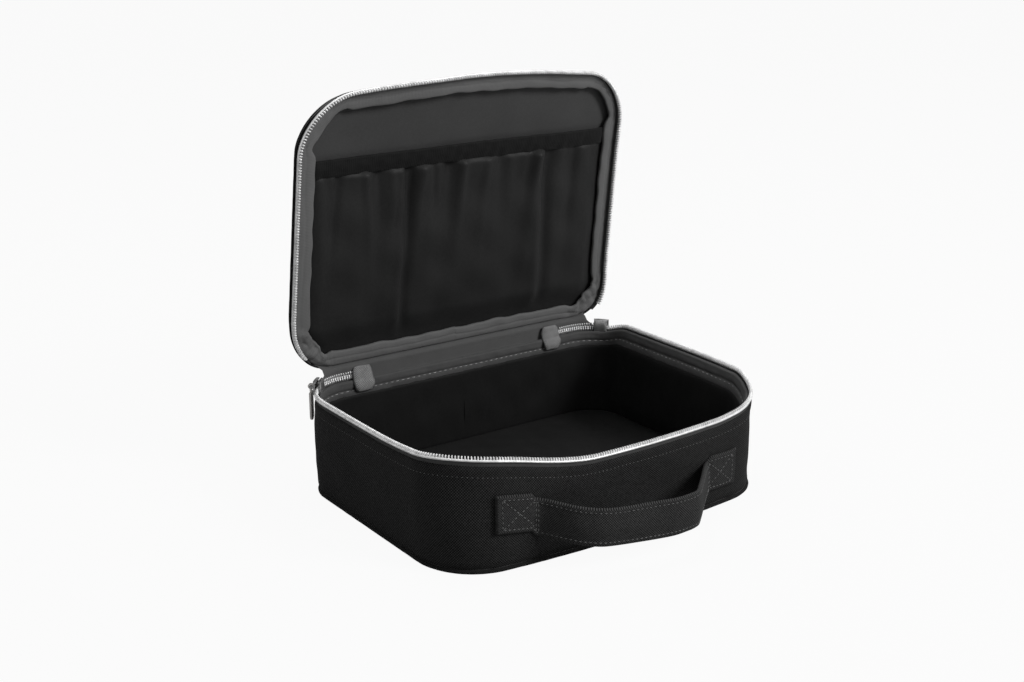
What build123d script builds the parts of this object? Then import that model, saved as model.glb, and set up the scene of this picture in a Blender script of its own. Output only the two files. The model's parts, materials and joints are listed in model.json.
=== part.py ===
from build123d import *
from math import cos, degrees, radians, sin, sqrt
import os

# Toiletry bag with a hinged, zipped lid, standing open.
# Millimetres, +Z up. The origin is the centre of the underside of the bottom panel.
# The front, with the handle, faces -Y. The lid turns about a line along X at the top of the back.

# Plan of the bag, at the outside of its side panels
width = 260.0
depth = 196.0
front_bow = 10.0
front_corner_radius = 42.0
back_corner_radius = 32.0

# Heights of the two halves, and how far the lid stands open
base_panel_top = 66.0
lid_band_height = 10.0
lid_open_angle = 85.0

# Fabric, padding and lining
fabric = 1.0
padding = 3.0
lining = 0.8
layer_gap = 0.1
binding_thickness = 3.6
binding_height = 8.9
lid_binding_width = 5.5

# Piping round the bottom edge and round the lid
piping_radius = 1.6
piping_sides = 6
piping_proud = 1.0
floor_gap = 0.3

# Zip: tape, teeth and the closed ends at the back corners
tape_thickness = 0.8
tape_show = 3.0
tape_seam = 8.9
tooth_pitch = 3.2
tooth_width = 1.4
tooth_root_width = 1.9
tooth_height = 3.2
tooth_thickness = 2.4
tooth_engagement = 1.2
chain_gap = 0.3
closed_end_run = 11.0
closed_arc_angle = 44.0
lid_chain_angle = 60.0
stop_length = 1.6

# Hinge line above the closed ends of the zip
hinge_rise = 4.85
hinge_out = 0.3
hinge_gap = 0.3
tab_length = 14.0
tab_thickness = 0.9
tab_drop = 12.0

# Sliders and their pulls
slider_angle = 48.0
slider_length = 10.5
slider_clearance = 0.3
slider_plate = 1.2
slider_flange = 0.8
slider_height = 9.0
bail_bar_radius = 0.7
bail_standoff = 2.4
bail_length = 7.0
bail_foot = 1.4
pull_ring_radius = 1.9
pull_ring_width = 2.2
pull_ring_clearance = 0.3
pull_width = 7.0
pull_length = 20.0
pull_neck = 4.0
pull_thickness = 1.4

# Handle of folded webbing on the front
strap_width = 25.0
strap_thickness = 2.4
strap_middle_z = 34.0
patch_length = 28.0
patch_from_side = 48.0
strap_reach = 37.0
strap_shoulder_run = 12.0
strap_shoulder_reach = 25.0
strap_lift_radius = 9.0
strap_shoulder_radius = 17.0
strap_bow_radius = 120.0
strap_lift_run = 7.0
strap_split_run = 4.0
strap_gap = 0.3
sewn_gap = 0.15

# Pocket inside the lid
pocket_height = 138.0
pocket_thickness = 0.9
pocket_slot = 6.4
elastic_height = 11.0
elastic_thickness = 1.6

# Levels of the base, from the floor up
piping_middle_z = floor_gap + piping_radius
panel_bottom = piping_middle_z + piping_radius + layer_gap
board_bottom = fabric + layer_gap
board_top = board_bottom + padding
binding_bottom = base_panel_top - binding_height
tape_bottom = base_panel_top - tape_seam
tape_top = base_panel_top + tape_show
chain_top = tape_top + tooth_height
zip_level = chain_top + chain_gap / 2

# Levels of the lid while it is shut
lid_chain_bottom = zip_level + chain_gap / 2
lid_tape_bottom = lid_chain_bottom + tooth_height
lid_band_bottom = lid_tape_bottom + tape_show
lid_top = lid_band_bottom + lid_band_height
lid_panel_bottom = lid_top - fabric
lid_board_bottom = lid_panel_bottom - layer_gap - padding
lid_lining_bottom = lid_board_bottom - layer_gap - lining
seam_top = lid_lining_bottom - layer_gap
hinge_z = zip_level + hinge_rise
hinge_y = depth / 2 + hinge_out

# Depths in from the outside of the side panels
foam_in = fabric + layer_gap
lining_in = foam_in + padding + layer_gap
lining_out = lining_in + lining
tape_in = foam_in
tape_out = tape_in + tape_thickness
tape_middle = (tape_in + tape_out) / 2
binding_in = tape_out + layer_gap
binding_out = binding_in + binding_thickness
piping_middle_in = piping_radius - piping_proud
bottom_in = piping_middle_in + piping_radius + layer_gap

# Corner centres, shared by every nested outline
corner_x = width / 2 - back_corner_radius
corner_y = depth / 2 - back_corner_radius
closed_end_x = corner_x - closed_end_run
front_radius = (width / 2) ** 2 / (2 * front_bow) + front_bow / 2
front_centre_y = front_radius - depth / 2


def outline(inset=0.0):
    """Plan outline moved inwards: straight back and sides, bowed front, round corners."""
    half_width = width / 2 - inset
    back = depth / 2 - inset
    radius = front_radius - inset
    side_front = front_centre_y - sqrt(radius ** 2 - half_width ** 2)
    left_front, right_front = (-half_width, side_front), (half_width, side_front)
    front = ThreePointArc(left_front, (0, front_centre_y - radius), right_front)
    sides_and_back = Polyline(right_front, (half_width, back), (-half_width, back), left_front)
    face = make_face(front + sides_and_back)
    face = fillet(face.vertices().filter_by(lambda v: v.Y > 0), back_corner_radius - inset)
    front_vertices = face.vertices().filter_by(lambda v: v.Y < side_front + 1e-3)
    return fillet(front_vertices, front_corner_radius - inset)


def plate(inset, bottom, top):
    """Flat panel with the bag's outline."""
    return Pos(0, 0, bottom) * extrude(outline(inset), top - bottom)


def ring(outer, inner, bottom, top):
    """Upright wall that follows the outline between two depths."""
    return Pos(0, 0, bottom) * extrude(outline(outer) - outline(inner), top - bottom)


def block(x_range, y_range, z_range):
    """Box from its limits along each axis."""
    sizes = [limits[1] - limits[0] for limits in (x_range, y_range, z_range)]
    middles = [(limits[0] + limits[1]) / 2 for limits in (x_range, y_range, z_range)]
    return Pos(*middles) * Box(*sizes)


def cord_ring(inset, middle_z):
    """Piping that follows the outline, with a six-sided section to keep its facets few."""
    path = Pos(0, 0, middle_z) * outline(inset).face().outer_wire()
    section = Plane(origin=path @ 0, z_dir=path % 0) * RegularPolygon(piping_radius, piping_sides)
    return sweep(section, path)


def zip_path():
    """Loop along the chain, the middle of the back on it, and the turn that leads round the left."""
    loop = outline(tape_middle).face().outer_wire()
    start = loop.param_at_point(Vector(0, depth / 2 - tape_middle, 0))
    turn = 1 if loop.tangent_at(start).X < 0 else -1
    return loop, start, turn


def tooth(direction):
    """One tooth: a wedge that narrows from its root on the tape to its head."""
    root, head = tooth_root_width / 2, tooth_width / 2
    head_z = direction * tooth_height
    wedge = Polyline((-root, 0), (root, 0), (head, head_z), (-head, head_z), close=True)
    profile = Plane.XZ * make_face(wedge)
    return Pos(0, tooth_thickness / 2, 0) * extrude(profile, tooth_thickness)


def chain(indices, root_z, direction):
    """Row of teeth along the zip; a tooth's index counts steps from the left closed end."""
    loop, start, turn = zip_path()
    one = tooth(direction)
    teeth = []
    for index in indices:
        distance = closed_first + index * tooth_step
        place = (start + turn * distance / loop.length) % 1.0
        point, along = loop.position_at(place), loop.tangent_at(place) * turn
        spot = Plane(origin=(point.X, point.Y, root_z), x_dir=along, z_dir=(0, 0, 1))
        teeth.append(spot.location * one)
    return teeth


def arc_distance(angle):
    """Distance along the chain from the middle of the back to an angle round the corner."""
    return corner_x + radians(angle) * (back_corner_radius - tape_middle)


def corner_point(side, angle, inset, z):
    """Point at an angle round a back corner, on one side of the bag."""
    reach = back_corner_radius - inset
    return (side * (corner_x + reach * sin(radians(angle))), corner_y + reach * cos(radians(angle)), z)


def behind_chain(angle, bottom, top):
    """Space at the back of the bag, between the two places where the lid leaves the base."""
    y = corner_point(1, angle, tape_middle, 0)[1]
    return block((-width, width), (y, depth), (bottom, top))


def corner_sector(side, first, last, inner, outer, bottom, top):
    """Curved bar round a back corner between two angles and two depths."""
    start, end = (90 - last, 90 - first) if side > 0 else (90 + first, 90 + last)
    wide, narrow = back_corner_radius - outer, back_corner_radius - inner
    centre = Vector(side * corner_x, corner_y)
    arcs = [CenterArc(centre, reach, start, end - start) for reach in (wide, narrow)]
    face = make_face(arcs[0] + arcs[1] + Line(arcs[0] @ 0, arcs[1] @ 0) + Line(arcs[0] @ 1, arcs[1] @ 1))
    return Pos(0, 0, bottom) * extrude(face, top - bottom)


def front_y(x, inset=0.0):
    """Y of the front panel's surface at a place across it."""
    return front_centre_y - sqrt((front_radius - inset) ** 2 - x ** 2)


def open_lid(shape):
    """Turn a piece of the lid from shut to the angle at which it stands."""
    axis = Axis((0, hinge_y, hinge_z), (1, 0, 0))
    return shape.rotate(axis, -lid_open_angle)


parts = {}

# Base panels, padding, board and lining
parts["base_side_panel"] = ring(0, fabric, panel_bottom, base_panel_top)
parts["base_bottom_panel"] = plate(bottom_in, 0, fabric)
parts["base_piping"] = cord_ring(piping_middle_in, piping_middle_z)
parts["base_bottom_board"] = plate(bottom_in, board_bottom, board_top)
bottom_lining_top = board_top + layer_gap + lining
lining_top = binding_bottom - layer_gap
parts["base_wall_padding"] = ring(foam_in, foam_in + padding, board_top + layer_gap, lining_top)
parts["base_bottom_lining"] = plate(lining_in, board_top + layer_gap, bottom_lining_top)
parts["base_side_lining"] = ring(lining_in, lining_out, bottom_lining_top + layer_gap, lining_top)
parts["base_rim_binding"] = ring(binding_in, binding_out, binding_bottom, base_panel_top)

# Base zip tape and teeth, with the lid's row where the zip stays closed at the back corners
tab_outer_x = closed_end_x - stop_length
tape_gap_x = (-tab_outer_x, tab_outer_x)
back_slab = block(tape_gap_x, (0, depth), (0, lid_top))
parts["base_zip_tape"] = ring(tape_in, tape_out, tape_bottom, tape_top) - back_slab
path_length = zip_path()[0].length
closed_first = closed_end_x + tooth_root_width / 2
chain_length = path_length - 2 * closed_first
last_tooth = round(chain_length / tooth_pitch)
tooth_step = chain_length / last_tooth
parts["base_zip_teeth"] = chain(range(last_tooth + 1), tape_top, 1)

upper_root = chain_top - tooth_engagement + tooth_height
upper_tape_top = hinge_z - hinge_gap
between_teeth = [index + 0.5 for index in range(last_tooth)]
closed_count = int((arc_distance(closed_arc_angle) - closed_first) / tooth_step)
closed_indices = between_teeth[:closed_count] + between_teeth[-closed_count:]
parts["closed_end_teeth"] = chain(closed_indices, upper_root, -1)
closed_tape = []
for side in (-1, 1):
    straight = block(sorted((side * tab_outer_x, side * corner_x)),
                     (depth / 2 - tape_out, depth / 2 - tape_in), (upper_root, upper_tape_top))
    bend = corner_sector(side, 0, closed_arc_angle, tape_out, tape_in, upper_root, upper_tape_top)
    closed_tape.append(straight + bend)
parts["closed_end_tape"] = closed_tape

# Stops and folded tabs over the two ends of the zip
stops_y = depth / 2 - tape_middle
stop_depths = (stops_y - tooth_thickness / 2, stops_y + tooth_thickness / 2)
parts["zip_end_stops"] = [block(sorted((side * tab_outer_x, side * closed_end_x)), stop_depths,
                                (tape_top, upper_root)) for side in (-1, 1)]


def end_tab():
    """Strip of fabric down the inside of the tape, out over the rim binding and down its face."""
    tab_y = depth / 2 - tape_out - layer_gap
    flap_y = depth / 2 - binding_out - layer_gap
    shelf = base_panel_top + layer_gap
    flap_end = base_panel_top - tab_drop
    corners = [(tab_y, upper_tape_top), (tab_y - tab_thickness, upper_tape_top),
               (tab_y - tab_thickness, shelf + tab_thickness), (flap_y - tab_thickness, shelf + tab_thickness),
               (flap_y - tab_thickness, flap_end), (flap_y, flap_end), (flap_y, shelf), (tab_y, shelf)]
    profile = Plane.YZ * make_face(Polyline(*corners, close=True))
    return extrude(profile, tab_length)


parts["zip_end_tab_left"] = Pos(-tab_outer_x, 0, 0) * end_tab()
parts["zip_end_tab_right"] = Pos(tab_outer_x - tab_length, 0, 0) * end_tab()


# Hinge strip, split at the hinge line
def hinge_strip(seam_end, step, hinge_end):
    """Fabric sewn inside a wall, stepping out over the wall's edge and on to the hinge line."""
    back = depth / 2
    turn = step + (tape_thickness if hinge_end > step else -tape_thickness)
    corners = [(back - tape_in, seam_end), (back - tape_in, step), (back, step), (back, hinge_end),
               (back - tape_thickness, hinge_end), (back - tape_thickness, turn),
               (back - tape_out, turn), (back - tape_out, seam_end)]
    profile = Plane.YZ * make_face(Polyline(*corners, close=True))
    return extrude(profile, tab_outer_x - layer_gap, both=True)


parts["hinge_strip_base"] = hinge_strip(tape_bottom, base_panel_top + layer_gap, upper_tape_top)
parts["hinge_strip_lid"] = open_lid(hinge_strip(seam_top, lid_band_bottom - layer_gap, hinge_z + hinge_gap))

# Handle: the sewn ends on the base, and the free strap between them
patch_centre_x = width / 2 - patch_from_side
sewn_inner_x = patch_centre_x - patch_length / 2
sewn_outer_x = patch_centre_x + patch_length / 2
strap_lift_x = sewn_inner_x + strap_lift_run
strap_shoulder_x = sewn_inner_x - strap_shoulder_run
strap_split_x = sewn_inner_x - strap_split_run
strap_bottom = strap_middle_z - strap_width / 2


def strap_centreline():
    """Middle of the strap from its left sewn end, out round its bow and back to the right one."""
    off_panel = strap_thickness / 2 + sewn_gap
    left = [(-strap_lift_x, front_y(strap_lift_x) - off_panel),
            (-sewn_inner_x, front_y(sewn_inner_x) - off_panel),
            (-strap_shoulder_x, -depth / 2 - strap_shoulder_reach)]
    right = [(-x, y) for x, y in reversed(left)]
    bends = [strap_lift_radius, strap_shoulder_radius]
    bends += [strap_bow_radius] + bends[::-1]
    return FilletPolyline(*left, (0, -depth / 2 - strap_reach), *right, radius=bends)


centreline = strap_centreline()
strap_section = Plane(origin=centreline @ 0, x_dir=(0, 0, 1), z_dir=centreline % 0)
flat_strap = sweep(strap_section * Rectangle(strap_width, strap_thickness), centreline)
whole_strap = Pos(0, 0, strap_middle_z) * flat_strap


def strap_span(first, last):
    """The stretch of the strap between two places across the front."""
    return whole_strap & block((first, last), (-depth, 0), (0, base_panel_top))


def sewn_end(side):
    """The end of the strap: flat along the panel where it is sewn, then lifting off it."""
    along = sorted((side * sewn_outer_x, side * strap_lift_x))
    sewn = ring(-sewn_gap - strap_thickness, -sewn_gap, strap_bottom, strap_bottom + strap_width)
    lift = strap_span(*sorted((side * width / 2, side * split_outer)))
    return (sewn & block(along, (-depth, 0), (0, base_panel_top))) + lift


split_inner = strap_split_x - strap_gap / 2
split_outer = strap_split_x + strap_gap / 2
parts["handle_end_left"] = sewn_end(-1)
parts["handle_end_right"] = sewn_end(1)
parts["handle_strap"] = strap_span(-split_inner, split_inner)

# Lid panels, padding, lining and piping, drawn shut
lid_parts = {}
lid_band_top = lid_top - panel_bottom
lid_parts["lid_side_band"] = ring(0, fabric, lid_band_bottom, lid_band_top)
lid_parts["lid_top_panel"] = plate(bottom_in, lid_panel_bottom, lid_top)
lid_parts["lid_piping"] = cord_ring(piping_middle_in, lid_top - piping_middle_z)
lid_parts["lid_padding"] = plate(bottom_in, lid_board_bottom, lid_board_bottom + padding)
lid_parts["lid_lining"] = plate(binding_in, lid_lining_bottom, lid_lining_bottom + lining)

# Lid binding: a band that slopes from the rim to the lining
binding_edge = binding_in + fabric
slope = loft([Pos(0, 0, lid_band_bottom) * outline(binding_edge),
              Pos(0, 0, seam_top) * outline(binding_in + lid_binding_width)])
lid_parts["lid_rim_binding"] = plate(binding_in, lid_band_bottom, seam_top) - slope

# Lid zip tape and teeth: below the hinge line they start where the chains part
free_from = hinge_z + hinge_gap
lid_tape = ring(tape_in, tape_out, lid_tape_bottom, seam_top) - back_slab
lid_parts["lid_zip_tape"] = lid_tape - behind_chain(lid_chain_angle, 0, free_from)
lid_skip = int((arc_distance(lid_chain_angle) - closed_first) / tooth_step) + 1
lid_parts["lid_zip_teeth"] = chain(between_teeth[lid_skip:-lid_skip], lid_tape_bottom, -1)

# Pocket: a gathered panel with walls to the lining, and an elastic along its mouth
pocket_in = binding_in + lid_binding_width + layer_gap
pocket_back = depth / 2 - pocket_in
pocket_mouth = pocket_back - pocket_height
pocket_face = seam_top - pocket_slot
elastic_edge = pocket_mouth + elastic_height
pocket_space = block((-width, width), (elastic_edge + layer_gap, depth), (0, lid_top))
pocket_shell = plate(pocket_in, pocket_face - pocket_thickness, seam_top)
pocket_hollow = plate(pocket_in + pocket_thickness, pocket_face, lid_top)
mouth_space = block((-width, width), (pocket_mouth, elastic_edge), (0, lid_top))
lid_parts["lid_pocket_panel"] = (pocket_shell - pocket_hollow) & pocket_space
lid_parts["lid_pocket_elastic"] = plate(pocket_in, pocket_face - elastic_thickness, pocket_face) & mouth_space

for name, shape in lid_parts.items():
    parts[name] = [open_lid(piece) for piece in shape] if isinstance(shape, list) else open_lid(shape)

# Sliders that straddle the chain on the back corners, each with a bail for its pull
half_angle = degrees(slider_length / 2 / (back_corner_radius - tape_middle))
slider_low = zip_level - slider_height / 2
slider_high = zip_level + slider_height / 2
channel_out = tape_middle - tooth_thickness / 2 - slider_clearance
channel_in = tape_middle + tooth_thickness / 2 + slider_clearance
plate_out = channel_out - slider_plate
bar_in = plate_out - bail_standoff


def slider_bar(side, inner, outer, bottom, top):
    """Curved bar as long as a slider, between two depths and two levels."""
    first, last = slider_angle - half_angle, slider_angle + half_angle
    return corner_sector(side, first, last, inner, outer, bottom, top)


def slider_frame(side):
    """Plane at the middle of the bail's bar: x along the chain, z outwards."""
    outwards = (side * sin(radians(slider_angle)), cos(radians(slider_angle)), 0)
    along = (side * cos(radians(slider_angle)), -sin(radians(slider_angle)), 0)
    return Plane(origin=corner_point(side, slider_angle, bar_in, zip_level), x_dir=along, z_dir=outwards)


def slider(side):
    """Two plates whose flanges close round the chain, with the bail on the outer one."""
    flange_levels = ((slider_low, slider_low + slider_flange), (slider_high - slider_flange, slider_high))
    outer_plate = slider_bar(side, channel_out, plate_out, slider_low, slider_high)
    inner_plate = slider_bar(side, channel_in + slider_plate, channel_in, slider_low, slider_high)
    for bottom, top in flange_levels:
        outer_plate += slider_bar(side, tape_in - slider_clearance, channel_out, bottom, top)
        inner_plate += slider_bar(side, channel_in, tape_out + slider_clearance, bottom, top)
    frame = slider_frame(side)
    foot_height = bail_standoff + slider_plate / 2
    bar = Rot(0, 90, 0) * Cylinder(bail_bar_radius, bail_length)
    foot = Box(bail_foot, 2 * bail_bar_radius, foot_height)
    for end in (-1, 1):
        bar += Pos(end * (bail_length - bail_foot) / 2, 0, -foot_height / 2) * foot
    return [outer_plate + frame.location * bar, inner_plate]


def pull(side):
    """Ring round the bail's bar, neck and flat tab with a round end, hanging straight down."""
    ring_blank = Rot(0, 90, 0) * Cylinder(pull_ring_radius, pull_ring_width)
    bore = Rot(0, 90, 0) * Cylinder(bail_bar_radius + pull_ring_clearance, 2 * pull_ring_width)
    down = 1 if (slider_frame(side).y_dir.Z < 0) else -1
    end_radius = pull_width / 2
    straight = pull_length - end_radius
    tab = Pos(0, down * (pull_neck + straight / 2)) * Rectangle(pull_width, straight)
    tab += Pos(0, down * (pull_neck + straight)) * Circle(end_radius)
    neck = Pos(0, down * pull_neck / 2) * Rectangle(pull_ring_width, pull_neck + layer_gap)
    flat = extrude(tab + neck, pull_thickness / 2, both=True)
    return slider_frame(side).location * (ring_blank + flat - bore)


for side, name in ((-1, "left"), (1, "right")):
    parts[f"slider_{name}"] = slider(side)
    parts[f"slider_pull_{name}"] = pull(side)

os.makedirs("parts", exist_ok=True)
for name, shape in parts.items():
    pieces = shape if isinstance(shape, list) else [shape]
    solids = [solid for piece in pieces for solid in piece.solids()]
    export_step(Compound(children=solids, label=name), f"parts/{name}.step")
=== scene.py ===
"""Soft toiletry bag with a zipped lid that stands open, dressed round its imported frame.

Shapes are worked out in millimetres with the lid shut, given the slack of soft cloth, and the
lid's pieces are then turned open about the fold at the top of the back. Meshes are in metres.
"""

import json
import logging
import math
from dataclasses import dataclass, field
from enum import Enum
from functools import cached_property
from typing import Any, Callable, Sequence

import bmesh
import bpy
import numpy as np
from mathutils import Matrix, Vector

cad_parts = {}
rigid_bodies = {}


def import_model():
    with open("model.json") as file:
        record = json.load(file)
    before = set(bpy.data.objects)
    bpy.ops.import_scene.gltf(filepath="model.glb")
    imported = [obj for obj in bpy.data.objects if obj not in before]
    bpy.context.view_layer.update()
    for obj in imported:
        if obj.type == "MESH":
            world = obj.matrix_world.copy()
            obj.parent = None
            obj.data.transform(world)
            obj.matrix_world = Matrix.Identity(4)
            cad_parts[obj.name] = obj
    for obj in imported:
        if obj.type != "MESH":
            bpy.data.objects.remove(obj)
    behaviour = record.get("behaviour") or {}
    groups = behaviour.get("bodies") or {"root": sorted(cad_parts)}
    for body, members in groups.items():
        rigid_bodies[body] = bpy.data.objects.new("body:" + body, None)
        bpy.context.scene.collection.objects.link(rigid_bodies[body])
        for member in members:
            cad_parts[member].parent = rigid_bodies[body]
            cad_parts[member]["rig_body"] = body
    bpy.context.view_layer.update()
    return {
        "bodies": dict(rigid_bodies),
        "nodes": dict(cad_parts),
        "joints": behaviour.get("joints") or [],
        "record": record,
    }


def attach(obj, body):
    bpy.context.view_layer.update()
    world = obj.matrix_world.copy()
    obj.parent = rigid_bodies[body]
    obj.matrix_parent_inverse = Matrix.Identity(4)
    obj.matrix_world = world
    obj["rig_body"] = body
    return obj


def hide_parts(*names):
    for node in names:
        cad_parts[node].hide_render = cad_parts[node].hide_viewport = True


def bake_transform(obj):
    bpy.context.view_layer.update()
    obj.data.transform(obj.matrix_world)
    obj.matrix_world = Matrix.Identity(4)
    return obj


LOG = logging.getLogger("toiletry_bag")
MILLIMETRE = 0.001
JOINED = 0.002 * MILLIMETRE
WAVES = 7
Array = np.ndarray
Colour = tuple[float, float, float]
Profile = Callable[[Array, Array], tuple[Array, Array]]
Level = Callable[[Array, Array, Array], Array]


def grey(level: int, warmth: float = 0.0) -> Colour:
    """A near-grey as linear red, green and blue.

    Args:
        level: Brightness as seen on a screen, 0 to 255.
        warmth: Share by which red is raised and blue lowered.

    Returns:
        The linear colour.
    """
    shade = (level / 255) ** 2.2
    return (shade * (1 + warmth), shade, shade * (1 - warmth))


def smooth(t: Array) -> Array:
    """Ease from 0 to 1: 3t squared less 2t cubed, held outside that span."""
    t = np.clip(t, 0.0, 1.0)
    return t * t * (3 - 2 * t)


def bell(t: Array) -> Array:
    """A Gaussian bump: e to the power of minus t squared."""
    return np.exp(-np.square(t))


def ripple(u: Array, v: Array, size: float, seed: int) -> Array:
    """Irregular waves: a mean of sine waves with seeded headings, lengths and starts.

    Args:
        u: First coordinate, in millimetres.
        v: Second coordinate, in millimetres.
        size: Typical distance from crest to crest.
        seed: Start of the random numbers.

    Returns:
        Heights of about -1 to 1.
    """
    draw = np.random.default_rng(seed)
    total = np.zeros(np.broadcast(u, v).shape)
    for _ in range(WAVES):
        heading = draw.uniform(0, math.tau)
        pace = math.tau / (size * draw.uniform(0.6, 1.7))
        start = draw.uniform(0, math.tau)
        total += np.sin(pace * (u * math.cos(heading) + v * math.sin(heading)) + start)
    return total / math.sqrt(2 * WAVES)


def unit(vectors: Array) -> Array:
    """The vectors at length 1; a vector of no length stays as it is."""
    size = np.linalg.norm(vectors, axis=-1, keepdims=True)
    return vectors / np.where(size > 1e-9, size, 1.0)


def lifted(flat: Array, height: Array) -> Array:
    """Places from their plan and their heights."""
    return np.concatenate([flat, height[..., None]], axis=-1)


def travelled(line: Array) -> Array:
    """Distance of each place of a line from its first."""
    return np.concatenate([[0.0], np.cumsum(np.linalg.norm(np.diff(line, axis=0), axis=1))])


def read(spots: Array, run: Array, values: Array) -> Array:
    """Rows of values read at places along a run, by straight interpolation."""
    return np.stack([np.interp(spots, run, column) for column in values.T], axis=-1)


def sheet_normals(grid: Array) -> Array:
    """Unit normals of a grid of places: the cross product of its row and column steps."""
    return unit(np.cross(np.gradient(grid, axis=0), np.gradient(grid, axis=1)))


def lengths(grid: Array, axis: int) -> Array:
    """Distance run along one axis of a grid, from its first row or column."""
    moves = np.linalg.norm(np.diff(grid, axis=axis), axis=-1)
    return np.pad(np.cumsum(moves, axis=axis), [(1 - axis, 0), (axis, 0)])


@dataclass(frozen=True)
class Track:
    """A line sampled along its length: its places, the ways out of the bag, and the distance run."""

    points: Array
    outward: Array
    run: Array

    @property
    def length(self) -> float:
        """Whole length of the line."""
        return float(self.run[-1])

    def at(self, distance: Array) -> tuple[Array, Array]:
        """Places and unit outward directions at distances along the line."""
        return read(distance, self.run, self.points), unit(read(distance, self.run, self.outward))

    def inside(self, distance: Array, depth: Array) -> Array:
        """Places in from the line: its own less the depth times the way out."""
        spots, out = self.at(distance)
        return spots - out * np.asarray(depth)[..., None]


@dataclass(frozen=True)
class Plan:
    """Outline of the bag seen from above: straight back and sides, bowed front, round corners."""

    width: float = 260.0
    depth: float = 196.0
    front_bow: float = 10.0
    front_corner: float = 42.0
    back_corner: float = 32.0
    step: float = 0.5

    @property
    def corner_x(self) -> float:
        """How far across the centres of the back corners lie."""
        return self.width / 2 - self.back_corner

    @property
    def corner_y(self) -> float:
        """How far back the centres of the back corners lie."""
        return self.depth / 2 - self.back_corner

    @property
    def bow_radius(self) -> float:
        """Radius of the bowed front."""
        return (self.width / 2) ** 2 / (2 * self.front_bow) + self.front_bow / 2

    def _arc(self, centre: tuple[float, float], radius: float, first: float, last: float) -> Array:
        """Points and headings of an arc: centre plus radius times (cos, sin) of the heading.

        Args:
            centre: Its centre.
            radius: Its radius.
            first: Heading of its first point, in degrees.
            last: Heading of its last point.

        Returns:
            Rows of x, y and heading in radians.
        """
        count = max(2, int(abs(math.radians(last - first)) * radius / self.step))
        heading = np.radians(np.linspace(first, last, count))
        x, y = (centre[0] + radius * np.cos(heading), centre[1] + radius * np.sin(heading))
        return np.stack([x, y, heading], axis=1)

    def track(self, inset: float = 0.0) -> Track:
        """The outline at a depth inside the outer face, from the middle of the back round the left side.

        Args:
            inset: Depth in from the outside of the side panels.

        Returns:
            The closed line, with its first place repeated at the end.
        """
        half, back = self.width / 2 - inset, self.depth / 2 - inset
        front_r, back_r, bow_r = (r - inset for r in (self.front_corner, self.back_corner, self.bow_radius))
        bow_y = self.bow_radius - self.depth / 2
        corner_x = half - front_r
        corner_y = bow_y - math.sqrt((bow_r - front_r) ** 2 - corner_x ** 2)
        lean = math.degrees(math.asin(corner_x / (bow_r - front_r)))
        left = np.vstack([
            np.array([[0.0, back, math.pi / 2]]),
            self._arc((-self.corner_x, self.corner_y), back_r, 90, 180),
            self._arc((-corner_x, corner_y), front_r, 180, 270 - lean),
            self._arc((0.0, bow_y), bow_r, 270 - lean, 270),
        ])
        right = left[::-1] * [-1, 1, -1] + [0, 0, 3 * math.pi]
        rows = np.vstack([left, right[1:]])
        run = travelled(rows[:, :2])
        even = np.linspace(0.0, run[-1], int(run[-1] / self.step))
        rows = read(even, run, rows)
        return Track(rows[:, :2], np.stack([np.cos(rows[:, 2]), np.sin(rows[:, 2])], axis=1), even)

    def front_y(self, x: Array) -> Array:
        """Place of the front panel's face across the bag: the bow's circle."""
        return self.bow_radius - self.depth / 2 - np.sqrt(self.bow_radius ** 2 - np.square(x))


@dataclass(frozen=True)
class Levels:
    """Heights of the layers while the bag is shut, and the fold that the lid turns about."""

    floor_gap: float = 0.3
    piping_radius: float = 1.6
    panel_bottom: float = 3.6
    panel_top: float = 66.0
    seam: float = 57.6
    tape_top: float = 69.0
    tooth: float = 3.2
    engagement: float = 1.2
    chain_gap: float = 0.3
    lid_band: float = 78.7
    lid_top: float = 88.7
    fold_y: float = 98.3
    fold_z: float = 77.2
    lid_open: float = 85.0

    @property
    def chain_top(self) -> float:
        """Top of the base's row of teeth."""
        return self.tape_top + self.tooth

    @property
    def lid_tape(self) -> float:
        """Foot of the lid's zip tape, above the lid's row of teeth."""
        return self.chain_top + self.chain_gap + self.tooth

    @property
    def lining(self) -> float:
        """Face of the lid's lining."""
        return self.lid_top - 5.0


class Half(Enum):
    """The half of the bag that a piece belongs to; each value is its body's name."""

    BASE = "base"
    LID = "lid"


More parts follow.
